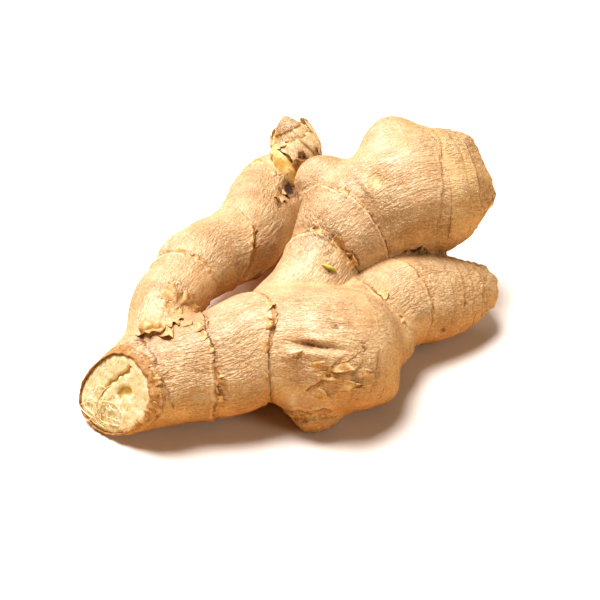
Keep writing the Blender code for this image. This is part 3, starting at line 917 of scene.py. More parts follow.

# %% [markdown]
# ## Finish of the skin
#
# Fresh ginger skin is a thin cork, creamy where it is taut. The valleys of its folds are painted a
# darker tan and the faces that look down a darker orange: both are painted shade, and a little light
# also comes back through the skin. The chain lays patches, the painted fold shade, speckles, the ring
# lines, dark scars (partly painted shade in their hollows) and the dried ends over each other, and
# the same folds feed a fine bump. A soft coat over it is the faint wet sheen of a fresh root.

# %% Skin colour
def skin_colour(tree, place, along, folds, mottle):
    """Patches, painted fold shade, mottling and flecks; then rings, dried parts, scars and painted
    shade below.
    """
    scaly = attribute(tree, "scaly")
    dry = attribute(tree, "dry")
    gap = attribute(tree, "ring")
    power = attribute(tree, "ring_power")
    # The valleys of the folds are painted a darker tan: painted shade in the creases.
    painted_fold_shade = times(tree, fade(tree, folds, 0.5, 0.0), attribute(tree, "firm"))
    lip = torn_line(tree, maths(tree, "ADD", gap, 0.9), 0.4, place)
    broken = fade(tree, noise(tree, place, 0.45), 0.36, 0.50)
    groove = times(tree, torn_line(tree, gap, 0.38, place), broken)
    torn = noise(tree, scaled(tree, along, (1.0, 1.0, 0.6)), 1.1, 3.0)
    uneven = times(tree, maths(tree, "SUBTRACT", torn, 0.5), 1.4)
    dark = maths(tree, "ADD", attribute(tree, "dark"), uneven)
    layers = (
        # mask, strength and tint, in the order in which they are laid
        (fade(tree, noise(tree, place, 0.06), 0.52, 0.70), 0.4, (0.66, 0.38, 0.18, 1)),
        (painted_fold_shade, 0.28, (0.52, 0.29, 0.11, 1)),
        (fade(tree, mottle, 0.50, 0.34), 0.30, (0.48, 0.26, 0.09, 1)),
        (fade(tree, mottle, 0.52, 0.68), 0.50, (0.92, 0.76, 0.55, 1)),
        (fade(tree, noise(tree, place, 0.85, 1.0), 0.74, 0.80), 0.6, (0.34, 0.16, 0.06, 1)),
        (attribute(tree, "ochre"), 0.9, (0.95, 0.74, 0.30, 1)),
        (times(tree, torn_line(tree, gap, 1.8, place), power), 0.32, (0.56, 0.31, 0.11, 1)),
        (times(tree, lip, power), 0.5, (0.94, 0.76, 0.50, 1)),
        (groove, times(tree, power, 1.2), (0.20, 0.08, 0.025, 1)),
        (scaly, 0.4, (0.68, 0.43, 0.19, 1)),
        (times(tree, scaly, fade(tree, torn, 0.55, 0.62)), 0.5, (0.34, 0.16, 0.06, 1)),
        (dry, 0.35, (0.60, 0.40, 0.20, 1)),
        (times(tree, dry, fade(tree, torn, 0.52, 0.62)), 0.38, (0.28, 0.13, 0.06, 1)),
        # Dark scars: partly their own brown, partly painted shade in hollows and crevices.
        (fade(tree, dark, 0.34, 0.55), 0.85, (0.25, 0.11, 0.04, 1)),
        (fade(tree, dark, 0.90, 1.10), 0.95, (0.04, 0.015, 0.005, 1)),
        (torn_line(tree, attribute(tree, "knife"), 0.7, place), 0.65, (0.30, 0.14, 0.05, 1)),
    )
    colour = soft_patches(tree, place, 9.0, (0.60, 0.385, 0.19, 1), (0.71, 0.52, 0.295, 1))
    for mask, strength, tint in layers:
        colour = over(tree, times(tree, mask, strength), colour, tint)
    # Faces that look down are multiplied warmer and darker: painted shade below.
    under = times(tree, attribute(tree, "under"), 0.7)
    return over(tree, under, colour, (1.0, 0.68, 0.30, 1), "MULTIPLY")


# %% Skin material
def skin_finish():
    """Cork skin: its colour, a soft coat, and a bump of the same folds, ridges and mottling."""
    material, tree, shader = new_material("ginger_cork", 0.45, 0.9)
    place = millimetres(tree)
    along = attribute(tree, "grain", "Vector")
    folds = cork_grain(tree, along, 0.9, 2.8)
    ridges = cork_grain(tree, along, 1.2, 3.4, "Ridges")
    fine = cork_grain(tree, along, 0.5, 2.5)
    mottle = noise(tree, place, 1.3, 3.0)
    heights = maths(tree, "ADD", folds, times(tree, fine, 0.6))
    heights = maths(tree, "ADD", heights, times(tree, ridges, 0.7))
    heights = times(tree, heights, attribute(tree, "firm"))
    heights = maths(tree, "ADD", heights, times(tree, mottle, 1.2))
    taut = fade(tree, noise(tree, place, 0.08, 1.0), 0.35, 0.62, 0.45, 1.0)
    rough = fade(tree, mottle, 0.35, 0.65, 0.58, 0.40)
    fill(shader, {
        "Base Color": skin_colour(tree, place, along, folds, mottle),
        "Roughness": maths(tree, "MAXIMUM", rough, attribute(tree, "dark")),
        "Normal": bumped(tree, times(tree, heights, taut), 0.0003, 1.0),
        "Coat Weight": 0.42,
        "Coat Roughness": 0.42,
        "Subsurface Weight": 0.06,
        "Subsurface Radius": (1.0, 0.45, 0.2),
        "Subsurface Scale": 0.0015,
    })
    return material


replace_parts(keep(skin, skin_finish()), NODE)

# %% [markdown]
# ## The knife cut: outline
#
# The flesh and its dried edge both follow the outline of the body where the knife went through. On
# each ray from the middle of the cut, twenty halvings find where the distance to the skin is nought.

# %% Outline of the cut
CUT_UP = unit(np.array([0.0, 0.0, 1.0]) - CUT_NORMAL * CUT_NORMAL[2])
CUT_RIGHT = np.cross(CUT_UP, CUT_NORMAL)
CUT_MIDDLE = CUT_POINT + 1.0 * CUT_RIGHT + 2.5 * CUT_UP
CUT_RAYS = 420
CUT_REACH = 30.0
HALVINGS = 20
ray_turn = np.linspace(0.0, 2.0 * math.pi, CUT_RAYS, endpoint=False)
ray_arms = np.cos(ray_turn)[:, None] * CUT_RIGHT + np.sin(ray_turn)[:, None] * CUT_UP


def cut_outline(depth):
    """Distance along each ray to the skin, on a plane that lies depth behind the knife's."""
    low = np.zeros(CUT_RAYS)
    high = np.full(CUT_RAYS, CUT_REACH)
    middle = CUT_MIDDLE - depth * CUT_NORMAL
    for _ in range(HALVINGS):
        reach = 0.5 * (low + high)
        points = middle + reach[:, None] * ray_arms
        value, _, shares = body.field(points)
        outside = (value > relief(points, shares)) | (points[:, 2] < 0.0)
        high = np.where(outside, reach, high)
        low = np.where(outside, low, reach)
    return low


def on_cut(flat, height):
    """Points at two flat coordinates on the knife's plane, raised over it by the height."""
    return CUT_POINT + flat[:, :1] * CUT_RIGHT + flat[:, 1:] * CUT_UP + height[:, None] * CUT_NORMAL


face_outline = cut_outline(0.0)
deep_outline = cut_outline(2.0)
print("cut face, mm across:", round(float(face_outline[0] + face_outline[CUT_RAYS // 2]), 1))

# %% [markdown]
# ## The flesh
#
# Ginger flesh is pale and juicy, with stringy bundles. As the cut dries it sinks below the skin and
# opens in ochre cracks. It is a polar grid, closed at its middle, whose height over the knife's
# plane is a formula: a slow swell, fine fibres, one long crack and a torn hollow.

# %% Flesh
FLESH_RINGS = 90
CRACK_WIDTH = 0.75
CRACK_DEPTH = 0.75
HOLLOW_WIDTH = 1.5
HOLLOW_DEPTH = 0.8
EDGE_DEPTH = 0.35
CRACK = np.array([
    (4.4, 14.6), (3.4, 12.4), (0.8, 9.3), (-1.6, 6.2), (-2.9, 3.3), (-4, 0.6), (-5.1, -2),
])
HOLLOW = np.array([(2.2, 4.4), (4, 6.2), (6.4, 7.4)])


def path_distance(flat, path):
    """Distance of flat points to a bent line, as the least of the distances to its pieces."""
    best = np.full(len(flat), 99.0)
    for start, end in zip(path[:-1], path[1:]):
        leg = end - start
        share = np.clip(((flat - start) @ leg) / (leg @ leg), 0.0, 1.0)
        best = np.minimum(best, np.linalg.norm(flat - start - share[:, None] * leg, axis=1))
    return best


fraction = np.linspace(0.004, 1.0, FLESH_RINGS) ** 0.8
reach = (fraction[:, None] * (face_outline - 0.35)[None, :]).ravel()
turn = np.tile(ray_turn, FLESH_RINGS)
flat = np.stack([reach * np.cos(turn), reach * np.sin(turn)], 1)
flat += (CUT_MIDDLE - CUT_POINT) @ np.stack([CUT_RIGHT, CUT_UP], 1)
padded = np.column_stack([flat, np.zeros(len(flat))])
wander = flat + 0.7 * np.column_stack([lattice_noise(padded / 1.6, seed) for seed in (5, 6)])
crack = np.exp(-(path_distance(wander, CRACK) / CRACK_WIDTH) ** 2)
hollow = np.exp(-(path_distance(wander, HOLLOW) / HOLLOW_WIDTH) ** 2)
near_edge = np.repeat(smooth_step(fraction, 0.86, 1.0), CUT_RAYS)
swell = 0.25 * lattice_noise(padded / 6.0, 7) + 0.10 * lattice_noise(padded / 1.3, 8)
flesh_height = -0.10 + swell - CRACK_DEPTH * crack - HOLLOW_DEPTH * hollow - EDGE_DEPTH * near_edge
flesh_height = np.maximum(flesh_height, -CUP_DEPTH + 0.05)
flesh_faces = grid_faces(FLESH_RINGS, CUT_RAYS, closed=True)
flesh = make_object("cut_flesh", on_cut(flat, flesh_height), flesh_faces)
for label, values in {"crack": crack, "hollow": hollow, "edge": near_edge, "face": padded}.items():
    set_fact(flesh.data, label, values)


def flesh_finish():
    """Pale flesh: cloudy cream, dotted fibre bundles, ochre cracks and a dried edge."""
    material, tree, shader = new_material("ginger_flesh", 0.42, 0.5)
    place = attribute(tree, "face", "Vector")
    cells = {"Vector": place, "Scale": 0.8, "Randomness": 1.0}
    fibres = add(tree, "TexVoronoi", cells).outputs["Distance"]
    streaks = noise(tree, scaled(tree, place, (1.6, 0.5, 1.0)), 1.1, 3.0)
    opened = maths(tree, "MAXIMUM", attribute(tree, "crack"), attribute(tree, "hollow"))
    layers = (
        # mask and tint, in the order in which they are laid
        (fade(tree, fibres, 0.08, 0.22, 0.55, 0.0), (0.93, 0.86, 0.62, 1)),
        (fade(tree, streaks, 0.5, 0.72, 0.0, 0.55), (0.62, 0.45, 0.14, 1)),
        (fade(tree, opened, 0.25, 0.85, 0.0, 0.85), (0.50, 0.33, 0.06, 1)),
        (fade(tree, attribute(tree, "edge"), 0.55, 1.0, 0.0, 0.9), (0.38, 0.22, 0.07, 1)),
    )
    colour = soft_patches(tree, place, 3.4, (0.86, 0.78, 0.46, 1), (0.97, 0.94, 0.74, 1))
    for mask, tint in layers:
        colour = over(tree, mask, colour, tint)
    heights = maths(tree, "ADD", streaks, fade(tree, fibres, 0.05, 0.3, 0.6, 0.0))
    fill(shader, {
        "Base Color": colour,
        "Normal": bumped(tree, heights, 0.0003, 0.8),
        "Subsurface Weight": 0.15,
        "Subsurface Radius": (1.0, 0.8, 0.35),
        "Subsurface Scale": 0.002,
    })
    return material


keep(flesh, flesh_finish())

# %% [markdown]
# ## The dried edge of the cut
#
# Where the knife broke the skin, its edge dried brown, curled over and frayed. It is a profile
# carried round the outline: it starts under the skin, rises to the knife's plane, leans in over the
# flesh and turns down behind it. Noise moves its height, so the edge is ragged.

# %% Dried edge
EDGE_PROFILE = np.array([
    # across from the skin inwards, and how far above the knife's plane
    (-0.05, -2), (0.10, -1.2), (0.08, -0.5), (0.02, -0.1), (0.15, 0.15), (0.50, 0.22), (0.85, 0.05),
    (0.95, -0.35), (0.80, -0.85),
])
DRIED_WIDTH = 3.0
DRIED_CLOCK = 8.0
DRIED_SPREAD = 42.0
EDGE_OVERHANG = 0.12
ragged = 0.35 * lattice_noise(ray_arms * 9.0, 91) + 0.25 * lattice_noise(ray_arms * 22.0, 92)
inward, lift = EDGE_PROFILE.T
blend_down = np.clip(-lift / 2.0, 0.0, 1.0)
edge_reach = face_outline[:, None] * (1.0 - blend_down) + deep_outline[:, None] * blend_down
from_dried = (np.degrees(ray_turn) - DRIED_CLOCK + 180.0) % 360.0 - 180.0
wide = np.exp(-from_dried ** 2 / DRIED_SPREAD ** 2)
wide = wide * (1.0 + 0.6 * lattice_noise(ray_arms * 4.0, 94)) * DRIED_WIDTH
edge_reach = edge_reach - inward * (0.6 + 0.8 * ragged + wide)[:, None] + EDGE_OVERHANG
edge_lift = lift + ragged[:, None] * smooth_step(lift, -0.8, 0.0)
edge_lift += 0.3 * smooth_step(inward, 0.1, 0.6) * (wide * lattice_noise(ray_arms * 4.0, 95))[:, None]
edge_points = CUT_MIDDLE + edge_reach[:, :, None] * ray_arms[:, None]
edge_points += edge_lift[:, :, None] * CUT_NORMAL
edge_faces = grid_faces(len(EDGE_PROFILE), CUT_RAYS, closed=True)
edge_grid = edge_points.transpose(1, 0, 2)
rim = make_object("cut_edge", edge_grid.reshape(-1, 3), edge_faces)
set_fact(rim.data, "inward", np.repeat(inward, CUT_RAYS))
set_fact(rim.data, "down", np.repeat(lift, CUT_RAYS))


def paper_finish(name, low, high, dark):
    """Dried scale: streaky paper between two tans, with dark torn parts."""
    material, tree, shader = new_material(name, 0.62, 0.3)
    place = millimetres(tree)
    specks = noise(tree, place, 1.9, 3.0)
    tip = maths(tree, "ADD", attribute(tree, "tip"), times(tree, specks, 0.5))
    colour = soft_patches(tree, place, 1.6, low, high)
    colour = over(tree, fade(tree, specks, 0.54, 0.68, 0.0, 0.55), colour, dark)
    colour = over(tree, fade(tree, tip, 1.05, 1.3, 0.0, 0.7), colour, dark)
    fill(shader, {"Base Color": colour, "Normal": bumped(tree, specks, 0.0002, 0.6)})
    return material


edge_paper = paper_finish(
    "dried_edge", (0.42, 0.22, 0.08, 1), (0.60, 0.38, 0.17, 1), (0.16, 0.07, 0.03, 1)
)
keep(rim, edge_paper)

# %% [markdown]
# ## Threads of fibre
#
# The knife pulled tough strings out of the flesh, and they curled up as they dried. The long ones
# follow points listed on the cut; the short curls are random arcs between them. Each is a tube
# hardly more than a quarter of a millimetre thick.

# %% Threads
THREAD_RADIUS = 0.14
THREAD_SIDES = 6
LONG_THREADS = (
    [(-11.6, -6.5), (-7.9, -3.2), (-2.1, 0.2), (3.1, 1.9), (4.4, 3.3)],
    [(-12, -6.7), (-8.7, -7.4), (-4.7, -7.1), (-2, -3.9), (-1.6, -0.6)],
    [(-3.7, -7.8), (-4.1, -2.2), (-3, 2.2), (-1.2, 5.5), (1.2, 7.4)],
    [(-2.8, -6), (-2.5, -1.7), (-1.3, 2.1), (0.6, 4.6)],
    [(2.4, -6), (-1, -6.1), (-3.3, -3.9), (-3.7, -0.6), (-2.4, 2)],
    [(1.9, 1.3), (0.4, -1.2), (0.1, -3.5), (2, -4.2), (3.6, -2.6)],
    [(-9.5, -9.3), (-6.5, -9.1), (-4.2, -5.7), (-2.2, -1.2), (1, 1.6)],
    [(0.5, -8.4), (-2.5, -7.3), (-4.3, -5.1), (-4.6, -2)],
)
CURLS = 15


def thread(knots, height, seed):
    """A tube along a smooth path over the cut, its height wavering between the flesh and height."""
    flat_path = smooth_path([(x, y, 0.0, 0.0) for x, y in knots])[:, :2]
    share = np.linspace(0.0, 1.0, len(flat_path))
    lift = 0.15 + height * np.sin(math.pi * share) * (0.7 + 0.3 * wavering(share * 4.0, seed))
    points = on_cut(flat_path, lift)
    radii = THREAD_RADIUS * rounded(np.minimum(share, 1.0 - share) * 12.0)
    return swept(points, radii, np.tile(CUT_NORMAL, (len(points), 1)), THREAD_SIDES)


random = np.random.default_rng(404)
threads = [thread(knots, 1.3, 60 + number) for number, knots in enumerate(LONG_THREADS)]
for number in range(CURLS):
    middle = random.uniform((-6.5, -7.0), (5.0, 1.5))
    size = random.uniform(1.6, 4.4)
    turn = random.uniform(0.0, 2.0 * math.pi) + np.linspace(0.0, random.uniform(1.6, 4.4), 7)
    arc = middle + size * np.column_stack([np.cos(turn), random.uniform(0.5, 0.9) * np.sin(turn)])
    threads.append(thread(arc, random.uniform(0.3, 1.2), 80 + number))
fibres = make_object("cut_threads", *joined(threads))

fibre = soft_finish("fibre", 0.55, 0.3, 2.5, (0.88, 0.77, 0.50, 1), (0.97, 0.92, 0.75, 1))
keep(fibres, fibre)

# %% [markdown]
# ## Dried edges of the scale leaves
#
# On a real ginger each ring still carries a frayed paper edge, as thin as a nail. A strip follows
# the ring's line on the finished skin; its free edge is torn by noise and lifts a little, so it
# throws the thin broken shadow that the eye reads as the ring.

# %% Points on the finished skin
OWN_SHARE = 0.85
SHORTEST_TEAR = 0.12
PLAIN_HEIGHT = 1.15
STRIP_COLUMNS = 5
STRIP_STEP = 0.35
STRIP_WIDTH = 1.3
STRIP_LIFT = 0.45
STRIP_SEED = 200
TEAR_CLOCK = 14.0
TEAR_RUN = 5.0


def on_skin(finger, run, clock, lift, plain=False):
    """Points at a run and clock on the finished skin, raised by lift, and their finger's share."""
    shape = run.shape
    start = finger.spot(run.ravel(), clock.ravel())
    placed = body.settle(start, 3)
    _, slopes, shares = body.field(placed)
    height = (PLAIN_HEIGHT if plain else relief(placed, shares)) + lift.ravel()
    own = shares[[body.fingers[name] is finger for name in FAMILIES].index(True)]
    return (placed + height[:, None] * unit(slopes)).reshape(*shape, 3), own.reshape(shape)


def torn_strip(finger, line, clock, width, lift, seed):
    """Grid of points from a line on the skin to a free edge, torn and lifted by noise."""
    across = np.linspace(0.0, 1.0, STRIP_COLUMNS)
    base = np.column_stack([clock / TEAR_CLOCK, line / TEAR_RUN, clock * 0.0])
    tear = 0.15 + 1.3 * lattice_noise(base, seed) + 0.6 * lattice_noise(base * 3.7, seed + 1)
    tear = np.clip(tear, 0.02, 1.5)
    run = line[:, None] - 0.5 + width * tear[:, None] * across
    curl = lift * tear * (0.8 + 0.6 * lattice_noise(base * 2.0, seed + 2))
    raised = -0.15 + curl[:, None] * across ** 1.5 + 0.12 * across
    points, own = on_skin(finger, run, np.repeat(clock[:, None], STRIP_COLUMNS, 1), raised)
    faces = grid_faces(len(line), STRIP_COLUMNS, closed=False)
    shown = own.ravel()[faces].min(1) > OWN_SHARE
    shown &= np.repeat(tear, STRIP_COLUMNS)[faces].min(1) > SHORTEST_TEAR
    return points.reshape(-1, 3), faces[shown]


strips = []
for number, ring in enumerate(RINGS):
    family, start, lean_top, lean_side, strength, clock, spread = ring
    finger = body.fingers[family]
    half = 1.25 * spread if spread else 180.0
    step = math.degrees(STRIP_STEP / np.interp(start, finger.run, finger.radii))
    turn = clock + np.arange(-half, half, step)
    around = np.radians(turn)
    line = start + lean_top * np.cos(around) + lean_side * np.sin(around)
    line = frayed(line, finger.spot(line, turn))
    size = STRIP_WIDTH * strength, STRIP_LIFT * strength
    strips.append(torn_strip(finger, line, turn, *size, STRIP_SEED + 3 * number))
scales = make_object("scale_edges", *joined(strips))
paper_wall(scales)
scale_paper = paper_finish(
    "scale_paper", (0.40, 0.21, 0.08, 1), (0.70, 0.47, 0.24, 1), (0.17, 0.07, 0.03, 1)
)
keep(scales, scale_paper)

# %% [markdown]
# ## Torn leaves and the shoot
#
# Where a scale leaf was rubbed off, scraps of it stay behind. Each scrap is a half oval on a grid of
# its own, laid out on the skin at a run and a clock angle, with its rim torn by noise and its free
# end raised. The shoot at the far end is wrapped in the same kind of leaf, only larger and paler.

# %% Scraps on the skin
LEAF_ROWS = 9
LEAF_COLUMNS = 8
LEAF_NOISE_STEP = 5.37
SCRAPS = {
    # finger: run, clock, heading from the finger's direction towards rising clock, length,
    # width, lift
    "main": (
        (24.5, -20, 90, 3.4, 7.5, 1.5), (27.5, -11, 65, 4, 6, 1.5), (30, -24, 80, 3.6, 5, 1.3),
        (31, -30, 60, 2.5, 3.5, 0.8), (33.5, -12, 50, 2.2, 4, 0.6), (36, -3, 20, 2.5, 4.5, 0.6),
        (37, 12, 10, 2, 3.5, 0.5), (38.5, 28, 0, 1.8, 3, 0.6), (38.5, 60, 10, 2, 3.5, 0.7),
        (38, 84, 0, 1.6, 3, 0.6), (57.5, 5, 0, 2.2, 4, 0.7), (56.5, 25, 0, 2, 4, 0.7),
        (54, 48, -20, 2.4, 4, 0.8), (50.5, 75, 10, 2, 3, 0.6), (73.5, 66, -30, 3, 3.5, 1.1),
        (75.5, 72, 0, 2.6, 3, 1), (77.5, 62, 40, 2.4, 3, 0.9), (78.5, 80, 10, 2.6, 3.2, 0.9),
        (75, 90, 20, 2.4, 3, 0.8), (80.5, 70, 0, 2, 2.5, 0.7), (22, 50, 0, 2.2, 3, 1),
        (20, 78, 0, 1.8, 4, 0.5),
    ),
    "back": (
        (8, 18, 0, 4.2, 5, 1.3), (9, 33, 20, 3.8, 4.6, 1.4), (10, 50, 0, 4.4, 5.6, 1.8),
        (9, 62, 40, 3.4, 4, 1.3), (5, 20, 0, 2.5, 3.5, 0.7), (4, 36, 10, 2.8, 3, 0.8),
        (24.5, -5, 0, 2, 4.5, 0.7), (25, 20, 0, 1.8, 3.5, 0.6), (24, 55, 0, 1.8, 3.5, 0.6),
        (54.5, -10, 0, 2, 4, 0.8), (52.5, 25, 0, 1.8, 4, 0.7), (49.5, 60, 0, 2, 3.5, 0.8),
        (80.5, 44, 180, 3, 3.5, 1.2), (74.5, 40, 150, 2.8, 3, 1.1), (72, 34, 200, 2, 2.6, 0.8),
        (84, 10, 0, 2, 4, 0.7), (95, -20, 0, 3, 5, 1),
    ),
    "upper": (
        (22.2, 35, 0, 4.4, 5.5, 2), (20.2, 57, 5, 4.6, 6, 2.2), (19.5, 66, 0, 3, 4, 1),
        (77.5, 92, 0, 3, 4, 1.3), (74, 80, 20, 2.4, 3, 0.9), (71, 72, 0, 1.8, 2.5, 0.6),
        (37.5, 5, 0, 2, 4, 0.6), (25, -5, 0, 2, 4.5, 0.6),
    ),
    "right": (
        (12.5, 20, 0, 2, 4, 0.7), (12, 60, 0, 2.4, 4, 0.8), (51, 70, 0, 2.2, 4, 0.8),
        (52.5, 30, 0, 2, 4, 0.7), (27, 30, 0, 1.4, 3, 0.4),
    ),
    "knob": ((4.5, 180, 0, 2.2, 4, 0.8), (5, -140, 0, 2, 4, 0.8), (5.5, 140, 0, 1.8, 3, 0.7)),
    "stub": (
        (5.5, -172, 0, 3.5, 5, 1), (6.5, -150, 0, 3, 4, 0.9), (9, -128, 0, 3, 4, 0.9),
        (4.5, 178, 180, 2.5, 4, 0.9), (5, -155, 180, 2.5, 4, 0.9),
    ),
}
SHOOT_LEAVES = {
    "stub": (
        (20.5, -168, 180, 10.5, 15, 0.9), (19, -118, 180, 7, 8, 0.9), (20, 152, 180, 5, 4, 0.7),
        (19, -170, 0, 5, 5, 1.3), (19, -135, 0, 4, 5, 1.1), (18.5, 160, 0, 6.5, 4.5, 1.5),
        (18, 110, 0, 5.5, 5, 1.3), (17, 50, 0, 6, 6, 1.4), (17, 0, 0, 5.5, 6, 1.4),
        (17, -50, 0, 5.5, 6, 1.4), (17, -90, 0, 5, 5, 1.4), (16, 110, 180, 5, 5, 0.8),
        (15, 20, 180, 7, 9, 0.9), (15, -45, 180, 7, 9, 0.9),
    ),
}


def torn_leaves(finger, leaves, seed, plain):
    """Half ovals: a along, b across, width shrinking as sqrt(1 - 0.8 a^2), lift rising as a^1.4."""
    run, clock, heading, length, width, lift = np.array(leaves).T[:, :, None, None]
    a = np.linspace(0.0, 1.0, LEAF_ROWS)[None, :, None]
    b = np.linspace(-1.0, 1.0, LEAF_COLUMNS)[None, None, :]
    shape = (len(leaves), LEAF_ROWS, LEAF_COLUMNS)
    number = np.arange(len(leaves))[:, None, None] * LEAF_NOISE_STEP + np.zeros(shape)
    flat = np.zeros(shape)
    across_noise = np.stack([number, b * 1.9 + flat, flat], axis=-1).reshape(-1, 3)
    along_noise = np.stack([number, a * 1.7 + flat, flat], axis=-1).reshape(-1, 3)
    torn = lattice_noise(across_noise, seed).reshape(shape)
    waved = lattice_noise(along_noise, seed + 1).reshape(shape)
    curled = lattice_noise(across_noise * 0.6, seed + 2).reshape(shape)
    along = a * length * (1.0 + 0.45 * torn)
    across = 0.5 * b * width * np.sqrt(1.0 - 0.8 * a ** 2) * (1.0 + 0.3 * waved)
    turn = np.radians(heading)
    radius = np.interp(run, finger.run, finger.radii)
    grid_run = run + np.cos(turn) * along - np.sin(turn) * across
    grid_clock = clock + np.degrees((np.sin(turn) * along + np.cos(turn) * across) / radius)
    raised = -0.12 + lift * a ** 1.4 * (0.8 + (0.2 if plain else 0.7) * curled) + 0.1 * np.abs(b)
    points, _ = on_skin(finger, grid_run, grid_clock, raised, plain)
    one = grid_faces(LEAF_ROWS, LEAF_COLUMNS, closed=False)
    starts = np.arange(len(leaves))[:, None, None] * (LEAF_ROWS * LEAF_COLUMNS)
    return points.reshape(-1, 3), (one[None] + starts).reshape(-1, 4), (a + np.zeros(shape)).ravel()


def leaf_piece(title, table, material, seed, plain=False):
    """All leaves of a table as one piece with a thin wall."""
    lots = [torn_leaves(body.fingers[name], rows, seed, plain) for name, rows in table.items()]
    thing = make_object(title, *joined([lot[:2] for lot in lots]))
    set_fact(thing.data, "tip", np.concatenate([lot[2] for lot in lots]))
    paper_wall(thing)
    keep(thing, material)


scrap_paper = paper_finish(
    "torn_scrap", (0.60, 0.36, 0.14, 1), (0.82, 0.59, 0.33, 1), (0.30, 0.13, 0.045, 1)
)
leaf_piece("torn_scraps", SCRAPS, scrap_paper, 300)
pale_paper = paper_finish(
    "shoot_leaf", (0.74, 0.54, 0.28, 1), (0.92, 0.78, 0.54, 1), (0.30, 0.15, 0.06, 1)
)
leaf_piece("shoot_leaves", SHOOT_LEAVES, pale_paper, 400, plain=True)

# %% [markdown]
# ## The peeled side of the shoot
#
# On its left the shoot has lost its papery wrap and shows a smooth, golden side. It is a bent bulb
# that leans on the back finger: a circle carried along a short path, thickest in its middle.

# %% Peeled side
FLANK = [
    (-8.2, 69.5, 32.6, 1.6), (-7.2, 65.4, 31, 2.9), (-5.8, 61, 28.2, 3.5), (-4.2, 57.6, 25.4, 3),
    (-3.2, 55.6, 23.6, 1.4),
]
FLANK_SIDES = 28
flank_points, flank_faces = swept(*domed(Finger(FLANK)), FLANK_SIDES)
flank_points += 0.12 * lattice_noise(flank_points / 2.2, 19)[:, None]
peeled = make_object("shoot_side", flank_points, flank_faces)
golds = (0.72, 0.46, 0.12, 1), (0.95, 0.76, 0.36, 1), (0.36, 0.19, 0.05, 1)
keep(peeled, soft_finish("golden_shoot", 0.3, 0.5, 2.4, *golds))

# %% [markdown]
# ## The broken root
#
# At the joint of the main and the back finger, a root broke off and left a short curled lip. It is a
# fat tube along a path on the skin, uneven in its width, with its broken end ragged.

# %% Broken root
def skin_tube(finger, run, clock, lift, radii, pivot, sides):
    """A tube over the skin of a finger, its seam turned away from the finger's station pivot."""
    bed, _ = on_skin(finger, run, clock, lift)
    return swept(bed, radii, bed - finger.centres[pivot], sides)


LIP_SIDES = 16
share = np.linspace(0.0, 1.0, 24)
lip_radii = (0.9 + 0.7 * np.sin(math.pi * share ** 0.8)) * rounded((1.0 - share) * 6.0)
lip_radii += 0.3 * wavering(share * 9.0, 17)
lip_radii *= np.clip(share * 30.0 + 0.25, 0.0, 1.0)
lip_place = 22.2 + 5.0 * share, -19.0 + 8.0 * share ** 1.5, 0.55 - 0.2 * share
lip_points, lip_faces = skin_tube(body.fingers["main"], *lip_place, lip_radii, 25, LIP_SIDES)
lip_points += 0.25 * lattice_noise(lip_points / 0.9, 18)[:, None]
lip = make_object("broken_root", lip_points, lip_faces)
set_fact(lip.data, "tip", np.repeat(np.clip(1.3 - 5.0 * share, 0.0, 1.0), LIP_SIDES))
keep(lip, scrap_paper)

# %% [markdown]
# ## The root stub
#
# Beside the hollow scar of the main finger one dead root has left a pale, straight stub. It is a thin
# tube on the skin with its far end raised.

# %% Root stub
stub_radii = 0.36 * rounded(np.minimum(share, 1.0 - share) * 9.0)
stub_place = 63.8 + 5.0 * share, 55.5 - 4.0 * share, 0.2 + 0.9 * (1.0 - share)
stub_tube = skin_tube(body.fingers["main"], *stub_place, stub_radii, 60, 10)
keep(make_object("root_stub", *stub_tube), fibre)

# %% [markdown]
# ## The sprout
#
# One sliver of green shows beside the neck, where a bud broke the skin. It is a tube along a short
# bent path on the skin, thick in its middle and pointed at both ends.

# %% Sprout
share = np.linspace(0.0, 1.0, 15)
bulge = np.sin(math.pi * share)
sprout_place = 15.7 + 0.6 * share, 26.0 + 25.0 * share, 0.15 + 0.3 * bulge
sprout_tube = skin_tube(body.fingers["upper"], *sprout_place, 0.05 + 0.68 * bulge ** 0.8, 18, 10)
greens = (0.40, 0.42, 0.06, 1), (0.66, 0.60, 0.16, 1)
keep(make_object("sprout", *sprout_tube), soft_finish("young_green", 0.35, 0.5, 1.2, *greens))
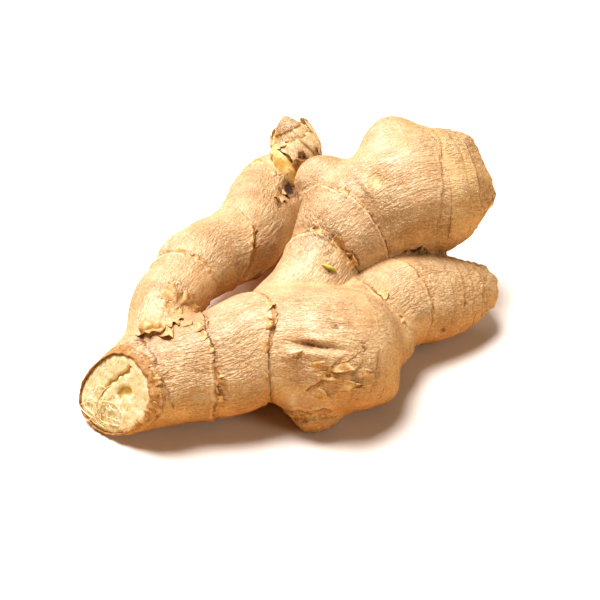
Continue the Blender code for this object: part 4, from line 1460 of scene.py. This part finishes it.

# %% [markdown]
# ## Light, floor and tone
#
# The key is a soft, high sun from behind and from the left, so the tops are almost white and the
# undersides fall into warm brown. Two low suns, from behind and from the right, open those sides.
# The camera sees a white floor under a white sky. To the ginger the floor gives back warm light and
# the sky hardly any; with the painted shade on the skin's undersides, that makes them golden.

# %% Light and floor
def aim(name, azimuth, elevation, colour, energy, width):
    """A sun of a width in degrees, from an azimuth, clockwise from the back, and an elevation."""
    lamp = bpy.data.objects.new(name, bpy.data.lights.new(name, "SUN"))
    a, e = math.radians(azimuth), math.radians(elevation)
    away = Vector((math.sin(a) * math.cos(e), math.cos(a) * math.cos(e), math.sin(e)))
    lamp.location = Vector(TARGET) * MM + away * 0.6
    lamp.rotation_euler = away.to_track_quat("Z", "Y").to_euler()
    lamp.data.color = colour
    lamp.data.energy = energy
    lamp.data.angle = math.radians(width)
    bpy.context.scene.collection.objects.link(lamp)


def seen_or_lit(tree, lit, seen):
    """The colour seen where the camera looks straight at it, and lit where it only sends light."""
    return over(tree, add(tree, "LightPath").outputs["Is Camera Ray"], lit, seen)


aim("key", -54.0, 71.0, (1.0, 0.91, 0.85), 5.15, 30.0)
aim("back", -25.0, 24.0, (1.0, 0.93, 0.84), 0.7, 20.0)
aim("side", 118.0, 22.0, (1.0, 0.90, 0.74), 0.7, 20.0)

world = bpy.data.worlds.new("studio")
world.use_nodes = True
sky = world.node_tree
sky_colour = seen_or_lit(sky, (0.08, 0.045, 0.019, 1), (1.0, 1.0, 1.0, 1))
fill(sky.nodes["Background"], {"Color": sky_colour, "Strength": 1.0})
bpy.context.scene.world = world

FLOOR = 1500.0
FLOOR_DROP = 0.02
corners = np.array([(-1, -1), (1, -1), (1, 1), (-1, 1)]) * FLOOR
corners = np.column_stack([corners, np.full(4, -FLOOR_DROP)])
floor = make_object("floor", corners, [(0, 1, 2, 3)])
floor_material, tree, shader = new_material("white_floor", 0.22, 0.4)
fill(shader, {"Base Color": seen_or_lit(tree, (0.85, 0.58, 0.28, 1), (0.95, 0.95, 0.95, 1))})
floor.data.materials.append(floor_material)
bpy.context.scene.view_settings.view_transform = "Standard"
bpy.context.scene.view_settings.look = "Medium High Contrast"
